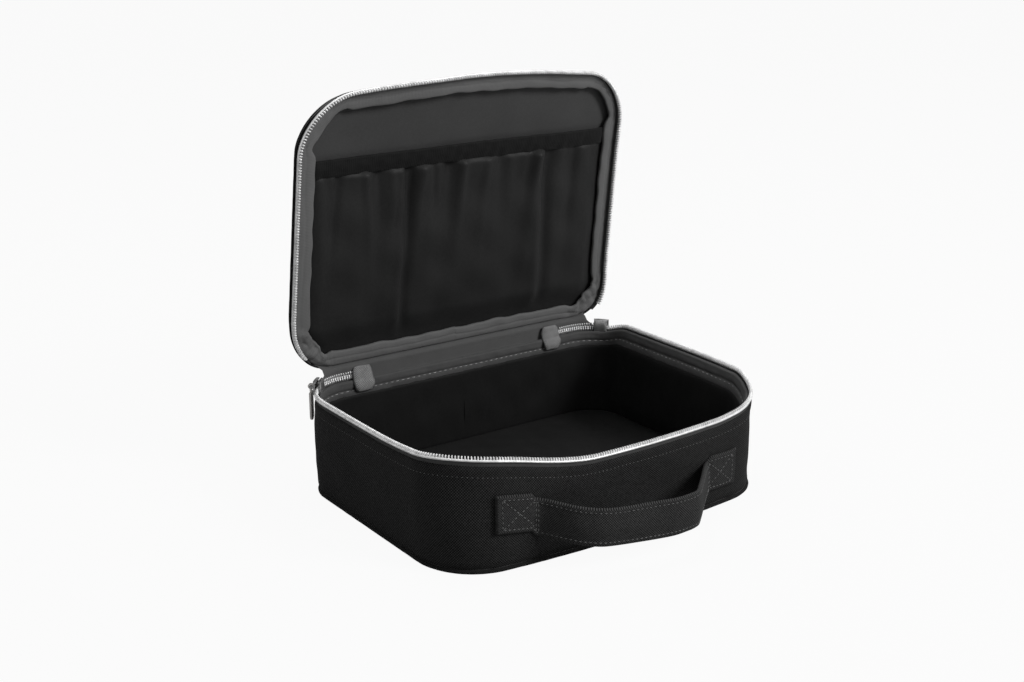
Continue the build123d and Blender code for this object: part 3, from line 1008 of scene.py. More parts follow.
@dataclass
class Base(Part):
    """The lower half: outer panels, padding, lining, bindings and stitching."""

    puff: float = 1.6
    foot: float = 2.4
    piping_depth: float = 0.9
    cord: float = 1.35
    bottom_inset: float = 2.3
    board_level: float = 2.6
    floor_level: float = 5.0
    lining_inset: float = 4.2
    lining_depth: float = 5.0
    topstitch: float = 59.6
    binding_top: float = 67.7

    def panel_depth(self, along: Array, height: Array) -> Array:
        """Depth of the outer cloth's middle: puffed between its seams, tucked in at both edges.

        The puff is a sine up the wall with gentle waves along it; each edge turns in over 3 mm.

        Args:
            along: Distances along the outline.
            height: Heights while the bag is shut.

        Returns:
            The depths.
        """
        levels = self.shop.levels
        height = np.asarray(height)
        share = np.clip((height - levels.panel_bottom) / (levels.panel_top - levels.panel_bottom), 0, 1)
        swell = self.puff * np.sin(share * math.pi) * (0.7 + 0.25 * ripple(along, height, 70.0, 11))
        tuck_foot = 1.3 * (1 - smooth((height - levels.panel_bottom) / 3.0))
        tuck_top = 0.7 * smooth((height - levels.panel_top + 2.5) / 2.5)
        stitch = 0.35 * bell((height - self.topstitch) / 0.9)
        waves = 0.12 * ripple(along, height, 18.0, 12)
        return self.fabric / 2 - swell + tuck_foot + tuck_top + stitch + waves

    def stitching(self) -> None:
        """The topstitch under the rim outside, and the pale one along the binding inside."""
        shop, along = self.shop, self.shop.columns()
        face = self.panel_depth(along, self.topstitch) - self.fabric / 2
        line = shop.seam(face, self.topstitch, Half.BASE, 1)
        shop.make("rim_topstitch", Stitches().solids(*line), "base", shop.finishes.thread)
        line = shop.seam(self.lining_depth, self.topstitch + 1.6, Half.BASE, -1)
        stitches = Stitches(length=2.6, gap=1.8, radius=0.28).solids(*line)
        shop.make("binding_topstitch", stitches, "base", shop.finishes.pale_thread)

    def side_panel(self) -> None:
        """Outer wall of woven polyester, in one run with its seam at the back."""

        def profile(along: Array, up: Array) -> tuple[Array, Array]:
            """The puffed wall, in even steps from its foot to the rim."""
            height = self.foot + up * (self.shop.levels.panel_top - self.foot)
            return self.panel_depth(along, height), height

        self.shop.strip("base_outer_wall", profile, 34, Half.BASE, self.fabric, self.shop.finishes.shell,
                        "base_side_panel")

    def bottom(self) -> None:
        """Outer bottom, the board on it, and the lining over the board with its slack."""
        shop, inset = self.shop, self.bottom_inset
        shop.board("base_outer_bottom", inset, lambda x, y, out: 0 * x + self.fabric / 2, self.fabric,
                   Half.BASE, shop.finishes.shell, "base_bottom_panel")
        foam = shop.board("base_bottom_foam", inset, lambda x, y, out: 0 * x + self.board_level, self.padding,
                          Half.BASE, shop.finishes.padding, "base_bottom_board", rows=8)

        def slack(x: Array, y: Array, out: Array) -> Array:
            """Waves that fade towards the wall as an ease."""
            waves = 0.6 * ripple(x, y, 55.0, 21) + 0.25 * ripple(x, y, 16.0, 22)
            return self.floor_level + (waves + 0.5) * (1 - smooth((out - 0.8) / 0.2))

        shop.board("base_floor_lining", self.lining_inset, slack, self.lining, Half.BASE,
                   shop.finishes.base_lining, "base_bottom_lining", rows=44)

    def inner_walls(self) -> None:
        """Foam inside the wall, and the black lining that hangs over it in soft waves."""
        shop, seam = self.shop, self.shop.levels.seam

        def foam(along: Array, up: Array) -> tuple[Array, Array]:
            """One depth all the way up."""
            return 2.6 + 0 * along, 4.4 + up * (seam - 5.2)

        item = shop.strip("base_wall_foam", foam, 6, Half.BASE, self.padding, shop.finishes.padding,
                          "base_wall_padding")

        def lining(along: Array, up: Array) -> tuple[Array, Array]:
            """Waves under a flattened sine, which keeps both hems still."""
            height = 5.4 + up * (seam - 5.6)
            waves = 0.55 * ripple(along, height, 34.0, 31) + 0.3 * ripple(along, height * 0.4, 11.0, 32)
            return self.lining_depth + np.sin(up * math.pi) ** 0.6 * (0.5 + waves), height

        shop.strip("base_wall_lining", lining, 26, Half.BASE, self.lining, shop.finishes.base_lining,
                   "base_side_lining")

    def rim_binding(self) -> None:
        """Grey tape folded over the seam allowance inside the rim, puckered by its stitching."""
        shop, rows = self.shop, 14

        def fold(along: Array, up: Array) -> tuple[Array, Array]:
            """Seeded puckers, less a Gaussian groove under the stitches."""
            pucker = 0.22 * ripple(along, up * 14, 7.0, 41)
            height = shop.levels.seam - 0.4 + up * (self.binding_top - shop.levels.seam)
            return 3.8 + pucker - 0.5 * bell((up - 0.45) / 0.12), height

        up = np.linspace(0, 1, rows)[:, None]
        bulk = 3.2 * (1 - 0.28 * bell((up - 0.45) / 0.1)) * (0.75 + 0.25 * np.sin(up * math.pi))
        shop.strip("base_binding_tape", fold, rows, Half.BASE, bulk, shop.finishes.base_binding,
                   "base_rim_binding")

    def build(self) -> None:
        """Make every piece of the lower half."""
        self.stitching()
        self.side_panel()
        self.bottom()
        height = self.shop.levels.floor_gap + self.cord
        self.shop.cord("base_seam_piping", self.piping_depth, height, self.cord, Half.BASE, "base_piping")
        self.inner_walls()
        self.rim_binding()


@dataclass
class Lid(Part):
    """The upper half: outer panels, padding, lining, wide binding and the gathered pocket."""

    taper: float = 6.2
    crown: float = 2.0
    panel_inset: float = 2.3
    foam_inset: float = 2.4
    foam_level: float = 86.2
    lining_inset: float = 3.4
    piping_depth: float = 0.6
    binding_start: float = 2.6
    binding_inner: float = 11.2
    binding_left: float = 3.2
    binding_front: float = 1.4
    binding_free: float = 4.6
    front_tuck: float = 1.6
    pocket_inset: float = 8.2
    pocket_fill: float = 4.4
    pocket_least: float = 0.5
    pocket_mouth: float = 2.4
    mouth_y: float = -47.6
    elastic_height: float = 11.0
    pleats: tuple[tuple[float, float, float], ...] = (
        (0.2, 7.0, 1.3), (0.5, -5.0, 1.8), (0.72, 8.0, 1.5), (0.95, -6.0, 1.2))
    valleys: tuple[tuple[float, float, float, float], ...] = (
        (-68.0, 8.0, 2.6, -2.0), (-46.0, 3.4, 4.6, 3.0), (-14.0, 7.0, 1.6, -6.0), (38.0, 9.0, 1.5, 8.0),
        (70.0, 4.4, 4.2, 1.0))

    def edge_inset(self, height: Array | float) -> Array:
        """How far the side of the lid leans in at a height, in proportion from the rim to the top."""
        levels = self.shop.levels
        return self.taper * np.clip((height - levels.lid_band) / (levels.lid_top - levels.lid_band), 0, 1)

    def side_band(self) -> None:
        """Outer band of the lid, from the zip to the piping."""
        shop, levels = self.shop, self.shop.levels
        rise = levels.lid_top - levels.panel_bottom + 0.4 - levels.lid_band

        def profile(along: Array, up: Array) -> tuple[Array, Array]:
            """Puffed as a sine, and moved in along the front as an ease."""
            height = levels.lid_band + up * rise
            _, out = shop.rim.at(along)
            puff = 0.2 * np.sin(up * math.pi) - self.front_tuck * smooth((-out[..., 1] - 0.5) / 0.4)
            waves = 0.1 * ripple(along, height, 16.0, 51)
            return self.fabric / 2 + self.edge_inset(height) - puff + waves, height

        shop.strip("lid_outer_band", profile, 9, Half.LID, self.fabric, shop.finishes.shell, "lid_side_band")

    def top(self) -> None:
        """Outer panel of the lid, softly crowned over its padding, and the lining under it, whose lighter
        grey paints the sheen and light on it.
        """
        shop, levels, finishes = self.shop, self.shop.levels, self.shop.finishes

        def crowned(x: Array, y: Array, out: Array) -> Array:
            """A crown that falls to the edge as an ease, and dips in its last tenth."""
            rise = self.crown * (1 - smooth(out)) - 0.4 * smooth((out - 0.9) / 0.1)
            return levels.lid_top - self.fabric / 2 + rise

        def slack(x: Array, y: Array, out: Array) -> Array:
            """Waves that fade towards the edge as an ease, over a slight cone."""
            waves = 0.5 * ripple(x, y, 60.0, 61) + 0.15 * ripple(x, y, 17.0, 62)
            return levels.lining - 0.1 + (waves + 0.4) * (1 - smooth((out - 0.82) / 0.16)) + 0.5 * (1 - out)

        shop.board("lid_outer_panel", self.panel_inset + self.taper, crowned, self.fabric, Half.LID,
                   finishes.shell, "lid_top_panel")
        foam = shop.board("lid_foam", self.foam_inset + self.taper,
                          lambda x, y, out: self.foam_level + self.crown * (1 - smooth(out)),
                          self.padding, Half.LID, finishes.padding, "lid_padding", rows=12)
        # The lid's lining takes the lighter copy of the lining cloth, with its sheen and light painted in.
        shop.board("lid_inner_lining", self.lining_inset, slack, self.lining, Half.LID, finishes.lining,
                   "lid_lining", rows=44)

    def rim_binding(self) -> None:
        """Wide grey tape that slopes from the zip to the lining, puckered most in the corners."""
        shop, levels, rows = self.shop, self.shop.levels, 16

        def slope(along: Array, up: Array) -> tuple[Array, Array]:
            """Even steps inwards and a power upwards, with puckers, a swell, a crease and pleats."""
            _, out = shop.rim.at(along)
            corner, still = self.corner_share(along), 0 * along
            back = corner * smooth(out[..., 1] / 0.3)
            wide = self.binding_inner + self.binding_left * smooth(-out[..., 0])
            wide = wide + self.binding_front * smooth(-out[..., 1]) - 3.0 * (corner - back)
            depth = self.binding_start + up * (wide - self.binding_start)
            height = levels.lid_band + 0.1 + (levels.lining - levels.lid_band - self.binding_free) * up ** 1.3
            body = np.sin(up * math.pi) ** 0.5
            pucker = (0.16 + 0.3 * corner + 1.1 * back) * ripple(along, up * 6, 7.0, 71) * body
            swell = -0.7 * body * (1 + 0.6 * ripple(along, up * 5, 20.0, 74) * (0.5 + back))
            crease = 0.3 * bell((up - 0.5 - 0.08 * ripple(along, still, 60.0, 72)) / 0.09)
            edge = up * ripple(along, still, 22.0, 73) * (0.6 + 0.5 * corner + 1.3 * back)
            return depth + edge, height + pucker + swell + crease - self.corner_folds(along, up)

        bulk = 1.1 + 0.9 * np.linspace(0, 1, rows)[:, None] ** 2
        shop.strip("lid_binding_tape", slope, rows, Half.LID, bulk, shop.finishes.binding, "lid_rim_binding")

    def corner_folds(self, along: Array, up: Array) -> Array:
        """Raised pleats where the binding bunches in the two corners by the hinge.

        Each is a Gaussian across a line that slants over the binding, with a steeper far side.

        Args:
            along: Distances along the outline.
            up: Shares of the way up the binding.

        Returns:
            Heights of the pleats.
        """
        plan, whole = self.shop.plan, self.shop.rim.length
        total = np.zeros_like(up)
        for place, slant, height in self.pleats:
            run = plan.corner_x + place * plan.back_corner * math.pi / 2
            for centre, way in ((run, 1), (whole - run, -1)):
                off = (along - centre) * way - slant * (up - 0.5)
                total += height * bell(off / np.where(off > 0, 0.9, 3.2)) * smooth(up / 0.3)
        return total

    def corner_share(self, along: Array) -> Array:
        """How far the outline bends, from how fast its direction turns.

        Args:
            along: Distances along the outline.

        Returns:
            1 in the bends and 0 on the straights.
        """
        _, before = self.shop.rim.at(np.clip(along - 6, 0, None))
        _, after = self.shop.rim.at(along + 6)
        return smooth((1 - (before * after).sum(axis=-1)) / 0.05)

    def half_width(self, y: Array | float, inset: float) -> Array:
        """Half the width of the outline behind its front corners.

        Args:
            y: Places from front to back.
            inset: Depth in from the outside of the side panels.

        Returns:
            The half widths.
        """
        plan = self.shop.plan
        radius = plan.back_corner - inset
        return plan.corner_x + np.sqrt(radius ** 2 - np.clip(y - plan.corner_y, 0, radius) ** 2)

    def folds(self, x: Array, v: Array) -> Array:
        """Relief of the pocket: panels that billow between long valleys, and short gathers at the mouth.

        Each valley is a Gaussian across the bag that runs down to the foot, with a softer ridge on one
        side. Each gather is a narrower Gaussian with a seeded place, width and height, either way, that
        fades out below the elastic.

        Args:
            x: Places across the bag.
            v: Shares of the way from the pocket's foot to its mouth.

        Returns:
            Heights of the relief.
        """
        draw = np.random.default_rng(81)
        total = np.zeros_like(x)
        for spot, width, depth, drift in self.valleys:
            off = (x - spot - drift * (1 - v) - 1.5 * np.sin(v * 5 + spot)) / width
            total -= depth * bell(off) * (0.55 + 0.45 * v)
            total += 0.55 * depth * bell((off + 1.9) / 1.1) * (0.4 + 0.6 * v)
        for spot in np.linspace(-106, 108, 19) + draw.uniform(-5.0, 5.0, 19):
            reach, width = draw.uniform(0.28, 0.6), draw.uniform(2.4, 5.0)
            height = draw.uniform(1.2, 3.0) * draw.choice([-1.0, 1.0])
            off = x - spot - draw.uniform(-12, 12) * (1 - v)
            total += height * bell((1 - v) / reach) * bell(off / (width * (1.7 - 0.7 * v)))
        return total

    def pocket(self) -> None:
        """Gathered pocket panel, sewn in round its sides and foot and free along its mouth."""
        shop, levels = self.shop, self.shop.levels
        foot = shop.plan.depth / 2 - self.pocket_inset
        top = self.mouth_y + self.elastic_height * 0.55
        u, v = np.meshgrid(np.linspace(-1, 1, 150), np.linspace(0, 1, 80))
        y = foot + v ** 0.85 * (top - foot)
        x = u * self.half_width(y, self.pocket_inset)
        sewn = smooth((1 - np.abs(u)) * 120 / 14) * smooth(v / 0.12)
        bulk = self.pocket_fill + self.folds(x, v) + 0.8 * ripple(x, y, 40.0, 82) + 1.6 * np.sin(v * math.pi)
        under = smooth((y - self.mouth_y - self.elastic_height + 2.5) / 4.0)
        bulk = self.pocket_mouth + (np.maximum(bulk, self.pocket_least) - self.pocket_mouth) * under
        z = levels.lining - 0.7 - sewn * bulk
        grid = shop.cloth.placed(np.stack([x, y, z], axis=-1), Half.LID)
        item = shop.make("lid_pocket_cloth", [Surface.measured(grid).thick(0.7)], "lid", shop.finishes.pocket,
                         "lid_pocket_panel")

    def elastic(self) -> None:
        """Elastic band along the mouth of the pocket, drawn straight, with a wavy lower edge."""
        shop = self.shop
        u, v = np.meshgrid(np.linspace(-1, 1, 160), np.linspace(0, 1, 9))
        x = u * self.half_width(self.mouth_y, self.pocket_inset - 0.2)
        wave = 0.5 * ripple(x, 0 * x, 24.0, 91)
        y = self.mouth_y + v * self.elastic_height + wave * v - 1.2 * (1 - u ** 2)
        ends = smooth((1 - np.abs(u)) * 120 / 9)
        bulk = 1.0 + ends * (3.6 + 0.35 * ripple(x, y, 12.0, 92)) - 0.25 * np.cos(v * math.tau)
        grid = shop.cloth.placed(np.stack([x, y, shop.levels.lining - bulk], axis=-1), Half.LID)
        shop.make("lid_pocket_band", [Surface.measured(grid).thick(1.3)], "lid", shop.finishes.elastic,
                  "lid_pocket_elastic")

    def build(self) -> None:
        """Make every piece of the upper half."""
        levels = self.shop.levels
        self.side_band()
        self.top()
        height = levels.lid_top - levels.floor_gap - levels.piping_radius
        self.shop.cord("lid_seam_piping", self.piping_depth + self.edge_inset(height), height,
                       levels.piping_radius, Half.LID, "lid_piping")
        self.rim_binding()
        self.pocket()
        self.elastic()


@dataclass
class Zip(Part):
    """Tapes, teeth, closed ends and end tabs of the zip, and the fold of cloth behind it."""

    tape: float = 0.8
    depth: float = 1.5
    pitch: float = 1.83
    strand_radius: float = 0.75
    strand_out: float = 0.9
    closed_from: float = 87.0
    closed_angle: float = 44.0
    lid_angle: float = 49.5
    fold_top: float = 83.2
    end_slant: float = 0.04
    end_waist: float = 0.045
    tab_width: float = 13.5
    tab_shift: float = 3.5
    tab_route: tuple[tuple[float, float], ...] = (
        (-2.5, 76.8), (-3.4, 72.0), (-4.6, 68.5), (-6.4, 66.0), (-7.0, 63.5), (-6.6, 60.2))

    @cached_property
    def line(self) -> Track:
        """The line that the teeth stand on."""
        return self.shop.plan.track(self.depth)

    def corner_run(self, angle: float) -> float:
        """Distance along the teeth's line to an angle round the first back corner."""
        plan = self.shop.plan
        return plan.corner_x + math.radians(angle) * (plan.back_corner - self.depth)

    def tooth(self) -> Array:
        """One tooth as five rounded rectangles: a broad foot astride the tape, a neck and a head.

        Returns:
            Places as rows up the tooth and columns round it: along the tape, through it and up.
        """
        heights = np.array([0.0, 0.0, 0.25, 1.3, 1.6, 2.9, 3.2, 3.2])
        widths = np.array([0.0, 0.9, 1.1, 1.1, 0.7, 0.85, 0.5, 0.0]) / 2
        depths = np.array([0.0, 1.9, 2.4, 2.4, 1.7, 1.7, 1.1, 0.0]) / 2
        turn = np.linspace(0, math.tau, 9) + math.pi / 8
        across, through = (np.sign(t) * np.abs(t) ** 0.5 for t in (np.cos(turn), np.sin(turn)))
        return np.stack([np.outer(widths, across), np.outer(depths, through),
                         np.repeat(heights[:, None], 9, axis=1)], axis=-1)

    def row(self, runs: Array, root: float, way: int) -> Array:
        """A row of teeth at distances along the zip: each place is carried into the line's own frame.

        Args:
            runs: Distances of the teeth along the line.
            root: Height of their feet while the bag is shut.
            way: 1 for teeth that point up, -1 for down.

        Returns:
            All the teeth as one stack of grids, tooth by tooth.
        """
        shape = self.tooth()
        spots, out = (values[:, None, None] for values in self.line.at(runs))
        along = np.stack([-out[..., 1], out[..., 0]], axis=-1)
        flat = spots + along * shape[None, ..., :1] + out * shape[None, ..., 1:2]
        return lifted(flat, np.broadcast_to(root + way * shape[..., 2], flat.shape[:-1]))

    def strand(self, first: float, last: float, level: float, half: Half) -> Surface:
        """The pale cord along the foot of a row: a circle carried along the line, closed at its ends.

        Args:
            first: Distance along the line where it starts.
            last: Distance where it ends.
            level: Height of its middle while the bag is shut.
            half: The half of the bag that it belongs to.

        Returns:
            The cord's skin.
        """
        count = 2 + int((last - first) / 2.0)
        along, turn = np.meshgrid(np.linspace(first, last, count), np.linspace(0, math.tau, 9), indexing="ij")
        size = self.strand_radius * np.ones_like(along)
        size[[0, -1]] = 0.0
        flat = self.line.inside(along, -self.strand_out - size * np.cos(turn))
        grid = lifted(flat, level + size * np.sin(turn))
        return Surface(self.shop.cloth.placed(grid, half), np.stack([along, turn], axis=-1))

    def teeth(self, name: str, runs: Array, root: float, way: int, half: Half, node: str,
              corded: bool = True) -> None:
        """Make a row of teeth as one piece, with its cord between the closed ends.

        Args:
            name: Name of the piece.
            runs: Distances of the teeth along the line.
            root: Height of their feet while the bag is shut.
            way: 1 for teeth that point up, -1 for down.
            half: The half of the bag that the row belongs to.
            node: CAD node that it stands for.
            corded: Whether the row has a cord.
        """
        shop, shut = self.shop, self.corner_run(self.closed_angle)
        grids = shop.cloth.placed(self.row(runs, root, way), half)
        surfaces = [Surface(grid, grid[..., :2]) for grid in grids]
        if corded:
            first, last = max(runs[0], shut), min(runs[-1], self.line.length - shut)
            surfaces.append(self.strand(first, last, root + way * self.strand_radius, half))
        shop.make(name, surfaces, half.value, shop.finishes.teeth, node)

    def chains(self) -> None:
        """The base's whole row, the lid's free row, and the lid's row where the zip stays shut."""
        levels, whole = self.shop.levels, self.line.length
        first = self.closed_from + self.pitch / 2
        count = round((whole - 2 * first) / self.pitch)
        step = (whole - 2 * first) / count
        lower = first + step * np.arange(count + 1)
        upper = lower[:-1] + step / 2
        near = np.minimum(upper, whole - upper)
        self.teeth("base_tooth_row", lower, levels.tape_top, 1, Half.BASE, "base_zip_teeth")
        free = upper[near > self.corner_run(self.lid_angle)]
        self.teeth("lid_tooth_row", free, levels.lid_tape, -1, Half.LID, "lid_zip_teeth")
        shut = upper[near < self.corner_run(self.closed_angle)]
        root = levels.chain_top - levels.engagement + levels.tooth
        self.teeth("closed_tooth_row", shut, root, -1, Half.BASE, "closed_end_teeth", corded=False)

    def tapes(self) -> None:
        """The two tapes that carry the teeth."""
        shop, levels = self.shop, self.shop.levels

        def lower(along: Array, up: Array) -> tuple[Array, Array]:
            """Straight up, with slight waves."""
            height = levels.seam - 0.4 + up * (levels.tape_top + 0.7 - levels.seam)
            return self.depth + 0.06 * ripple(along, up, 20.0, 101), height

        def upper(along: Array, up: Array) -> tuple[Array, Array]:
            """Leaning inwards as a square."""
            return self.depth + 0.6 * up ** 2, levels.lid_tape - 0.3 + up * 6.0

        for name, profile, half, start, node in (
                ("base_tape_strip", lower, Half.BASE, self.closed_from - 1.6, "base_zip_tape"),
                ("lid_tape_strip", upper, Half.LID, self.corner_run(self.lid_angle - 8), "lid_zip_tape")):
            shop.strip(name, profile, 8, half, self.tape, shop.finishes.tape, node, start=start,
                       end=shop.rim.length - start)

    def fold(self) -> None:
        """Cloth behind the zip: up from the base's rim and over the fold to the lid's band.

        Its height runs from the base's seam to the lid's band. The share of the lid's turn that each
        row takes is an ease that is 0 below the fold and 1 above it.
        """
        shop, levels = self.shop, self.shop.levels
        reach = self.corner_run(self.closed_angle)
        along, up = np.meshgrid(np.linspace(-reach, reach, 120), np.linspace(0, 1, 26))
        height = levels.seam + up * (self.fold_top - levels.seam)
        along = along * (1 - self.end_slant * up - self.end_waist * bell((height - levels.fold_z) / 3.0))
        over = smooth((height - levels.panel_top) / 1.2)
        over = over * (1 - smooth((height - levels.lid_band + 1.0) / 1.2))
        depth = 1.5 - 1.1 * over * smooth((self.closed_from - 6 - np.abs(along)) / 6)
        grid = lifted(shop.rim.inside(np.mod(along, shop.rim.length), depth), height)
        turn = smooth((height - levels.fold_z + 1.6) / 3.2)
        grid = grid + (shop.cloth.slack(grid, Half.LID) - grid) * turn[..., None]
        skin = Surface.measured(shop.cloth.opened(grid, turn)).thick(self.tape)
        # The hinge cloth takes the zip tape's lighter copy, with the light on it painted in.
        item = shop.make("hinge_cloth", [skin], "", shop.finishes.hinge, "hinge_strip_base",
                         "hinge_strip_lid", "closed_end_tape")
        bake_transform(item)

    def tabs(self) -> None:
        """Grey tabs folded over the two ends of the zip.

        A tab's middle line runs down the inside of the tape, out over the binding and a little way
        down its face. It narrows towards both ends as a fourth power, and swells in its middle.
        """
        shop = self.shop
        route = np.array(self.tab_route) + [shop.plan.depth / 2, 0.0]
        run = travelled(route)
        steps = np.linspace(0, run[-1], 30)
        line = read(steps, run, route)
        line[1:-1] = (line[:-2] + 2 * line[1:-1] + line[2:]) / 4
        v, u = np.meshgrid(np.linspace(-0.5, 0.5, 17), np.arange(len(line)))
        reach = 2 * u / (len(line) - 1) - 1
        swell = np.sqrt(np.clip(1 - (2 * v) ** 4, 0, 1) * np.clip(1 - reach ** 6, 0, 1))
        for side, name in ((-1, "left"), (1, "right")):
            middle = side * (self.closed_from - 1.6 - self.tab_width / 2 + self.tab_shift * (side < 0))
            x = middle + v * self.tab_width * (1 - 0.3 * reach ** 4)
            flutter = 0.35 * ripple(x, steps[u], 8.0, 110 + side)
            grid = np.stack([x, line[u, 0] + flutter, line[u, 1]], axis=-1)
            skin = Surface.measured(grid).thick(0.8 + 1.8 * swell)
            shop.make(f"end_tab_{name}", [skin], "base", shop.finishes.tab, f"zip_end_tab_{name}")

    def build(self) -> None:
        """Make every piece of the zip."""
        self.chains()
        self.tapes()
        self.fold()
        self.tabs()


@dataclass
class Handle(Part):
    """The carrying strap: flat on the front panel at its two sewn ends, bowed out between them."""

    base: Base | None = None
    width: float = 25.0
    thickness: float = 2.4
    middle_z: float = 34.0
    patch_inner: float = 68.0
    patch_outer: float = 96.0
    shift: float = -3.8
    right_short: float = 3.5
    rises: tuple[tuple[float, float], ...] = ((-96.0, 3.5), (20.0, 0.0), (60.0, -3.2), (96.0, -4.2))
    droop: float = 3.5
    rounding: float = 8.0
    route: tuple[tuple[float, float], ...] = (
        (-58.0, -119.0), (-47.0, -127.0), (4.0, -137.0), (22.0, -135.0), (37.0, -121.5))
    edge_stitch: float = 3.0
    rows: int = 17
    columns: int = 260

    @property
    def sewn_length(self) -> float:
        """Length of each sewn end."""
        return self.patch_outer - self.patch_inner

    def line(self) -> tuple[Array, Array, Array]:
        """Middle line of the strap seen from above.

        Straight runs join the sewn ends and the route's points. Between the sewn ends the line is the
        mean of the runs over a window weighted by a cosine, which rounds their bends.

        Returns:
            Places along the line, its directions away from the bag, and the share by which it is free.
        """
        sewn = np.linspace(self.patch_outer, self.patch_inner, 30)
        near = sewn - self.right_short * smooth((sewn - self.patch_inner) / 20.0)
        left, right = (np.stack([x, self.shop.plan.front_y(x) - self.thickness / 2], axis=1)
                       for x in (self.shift - sewn, self.shift + near))
        route = np.vstack([left, np.array(self.route), right[::-1]])
        run = travelled(route)
        even = np.linspace(0, run[-1], self.columns)
        window = np.linspace(-self.rounding, self.rounding, 41)
        weight = np.cos(window / self.rounding * math.pi / 2)[:, None]
        spread = np.clip(even[:, None] + window, 0, run[-1])
        rounded = (read(spread, run, route) * weight).sum(axis=1) / weight.sum()
        free = smooth((np.minimum(even, run[-1] - even) - self.sewn_length + 8.0) / 8.0)
        places = read(even, run, route) * (1 - free[:, None]) + rounded * free[:, None]
        ahead = unit(np.gradient(places, axis=0))
        return places, np.stack([ahead[:, 1], -ahead[:, 0]], axis=1), free

    @cached_property
    def sheet(self) -> Surface:
        """The strap's middle sheet: its line carried up its width, cupped and a little waved.

        Where it is sewn it also follows the puffed panel, whose face lies at its own depth.
        """
        places, out, free = self.line()
        up, column = np.meshgrid(np.linspace(-0.5, 0.5, self.rows), np.arange(self.columns), indexing="ij")
        x, loose = places[column][..., 0], free[column]
        rise = np.interp(x, *zip(*self.rises))
        z = self.middle_z + rise + up * (self.width - self.thickness) - self.droop * smooth(loose) ** 2
        radius = self.shop.plan.bow_radius
        along = self.shop.rim.length / 2 + radius * np.arcsin(np.clip(x / radius, -0.2, 0.2))
        puff = self.fabric / 2 - self.base.panel_depth(along, z)
        cup = loose * (0.5 * np.cos(up * math.tau) + 0.4 * ripple(x, up * 25, 45.0, 121))
        grid = lifted(places[column] + out[column] * (cup + puff * (1 - loose))[..., None], z)
        middle = np.broadcast_to(grid[self.rows // 2], grid.shape)
        return Surface.measured(grid + self.shop.cloth.slack(middle, Half.BASE) - middle)

    def strap(self) -> None:
        """The strap itself, with thicker hems and a groove along each row of stitches."""
        edge = np.abs(np.linspace(-1, 1, self.rows))[:, None]
        groove = 1 - 2 * self.edge_stitch / self.width
        hem = 1 + 0.14 * bell((edge - 0.9) / 0.1) - 0.16 * bell((edge - groove) / 0.05)
        skin = self.sheet.thick(self.thickness * hem)
        self.bend(self.shop.make("carry_strap", [skin], "", self.shop.finishes.webbing, "handle_end_left",
                                 "handle_end_right", "handle_strap"))

    def stitch_line(self, first: tuple[float, float], last: tuple[float, float]) -> tuple[Array, Array]:
        """A straight row of stitches on the strap's outer face.

        Args:
            first: Its start, as distance along the strap and height from its middle.
            last: Its end.

        Returns:
            Places along the row and the way out of the cloth.
        """
        count = 2 + int(math.dist(first, last))
        distance, height = np.linspace(first, last, count).T
        row = (height / (self.width - self.thickness) + 0.5) * (self.rows - 1)
        column = distance / self.length * (self.columns - 1)
        row, column = np.clip(row, 0, self.rows - 1.001), np.clip(column, 0, self.columns - 1.001)
        places, normal = self.sheet.at(row, column)
        normal = normal * -np.sign(normal[:, 1:2])
        return places + normal * self.thickness / 2, normal

    @property
    def length(self) -> float:
        """Length of the strap along its middle."""
        return float(self.sheet.pattern[0, -1, 0])

    def stitching(self) -> None:
        """Rows of stitches along both edges, and a box with a cross on each sewn end."""
        reach, length = self.width / 2 - self.edge_stitch, self.length
        first, last = self.edge_stitch, self.sewn_length - 1.5
        rows = [((first, side), (length - first, side)) for side in (-reach, reach)]
        for a, b in ((first, last), (length - first, length - last)):
            rows += [((x, -reach), (x, reach)) for x in (a, b, b + (b - a) * 0.09)]
            rows += [((a, side), (b, -side)) for side in (-reach, reach)]
        stitches = Stitches(length=2.0, gap=1.0, radius=0.26)
        solids = [solid for row in rows for solid in stitches.solids(*self.stitch_line(*row))]
        self.bend(self.shop.make("strap_stitching", solids, "", self.shop.finishes.thread, slot="webbing"))

    def bend(self, item: bpy.types.Object) -> None:
        """Bake a piece's place into its mesh.

        Args:
            item: The piece.
        """
        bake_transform(item)

    def build(self) -> None:
        """Make the strap and its stitching."""
        self.strap()
        self.stitching()


@dataclass
class Hardware(Part):
    """Sliders and pulls, kept as the CAD has them, with softened edges."""

    frame: dict[str, Any] = field(default_factory=dict)
    edge: float = 0.4

    def soften(self, node: str, name: str, finish: Finish) -> None:
        """Copy a CAD node, merge its triangles, and round its edges with a bevel.

        Args:
            node: The CAD node, which the piece stands for.
            name: Name of the piece.
            finish: Its finish.
        """
        source = self.frame["nodes"][node]
        mesh = closed_up(source.data.copy(), MILLIMETRE / 1000, math.radians(2))
        item = self.shop.place(name, mesh, source["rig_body"], finish, node)
        bevel = item.modifiers.new("softened", "BEVEL")
        bevel.width = self.edge * MILLIMETRE
        bevel.segments = 2
        bevel.limit_method = "ANGLE"
        bevel.angle_limit = math.radians(40)
        bevel.harden_normals = True

    def build(self) -> None:
        """Dress the sliders, pulls and end stops."""
        finishes = self.shop.finishes
        for side in ("left", "right"):
            self.soften(f"slider_{side}", f"zip_slider_{side}", finishes.metal)
            self.soften(f"slider_pull_{side}", f"zip_pull_{side}", finishes.pull)
        self.soften("zip_end_stops", "zip_stops", finishes.metal)


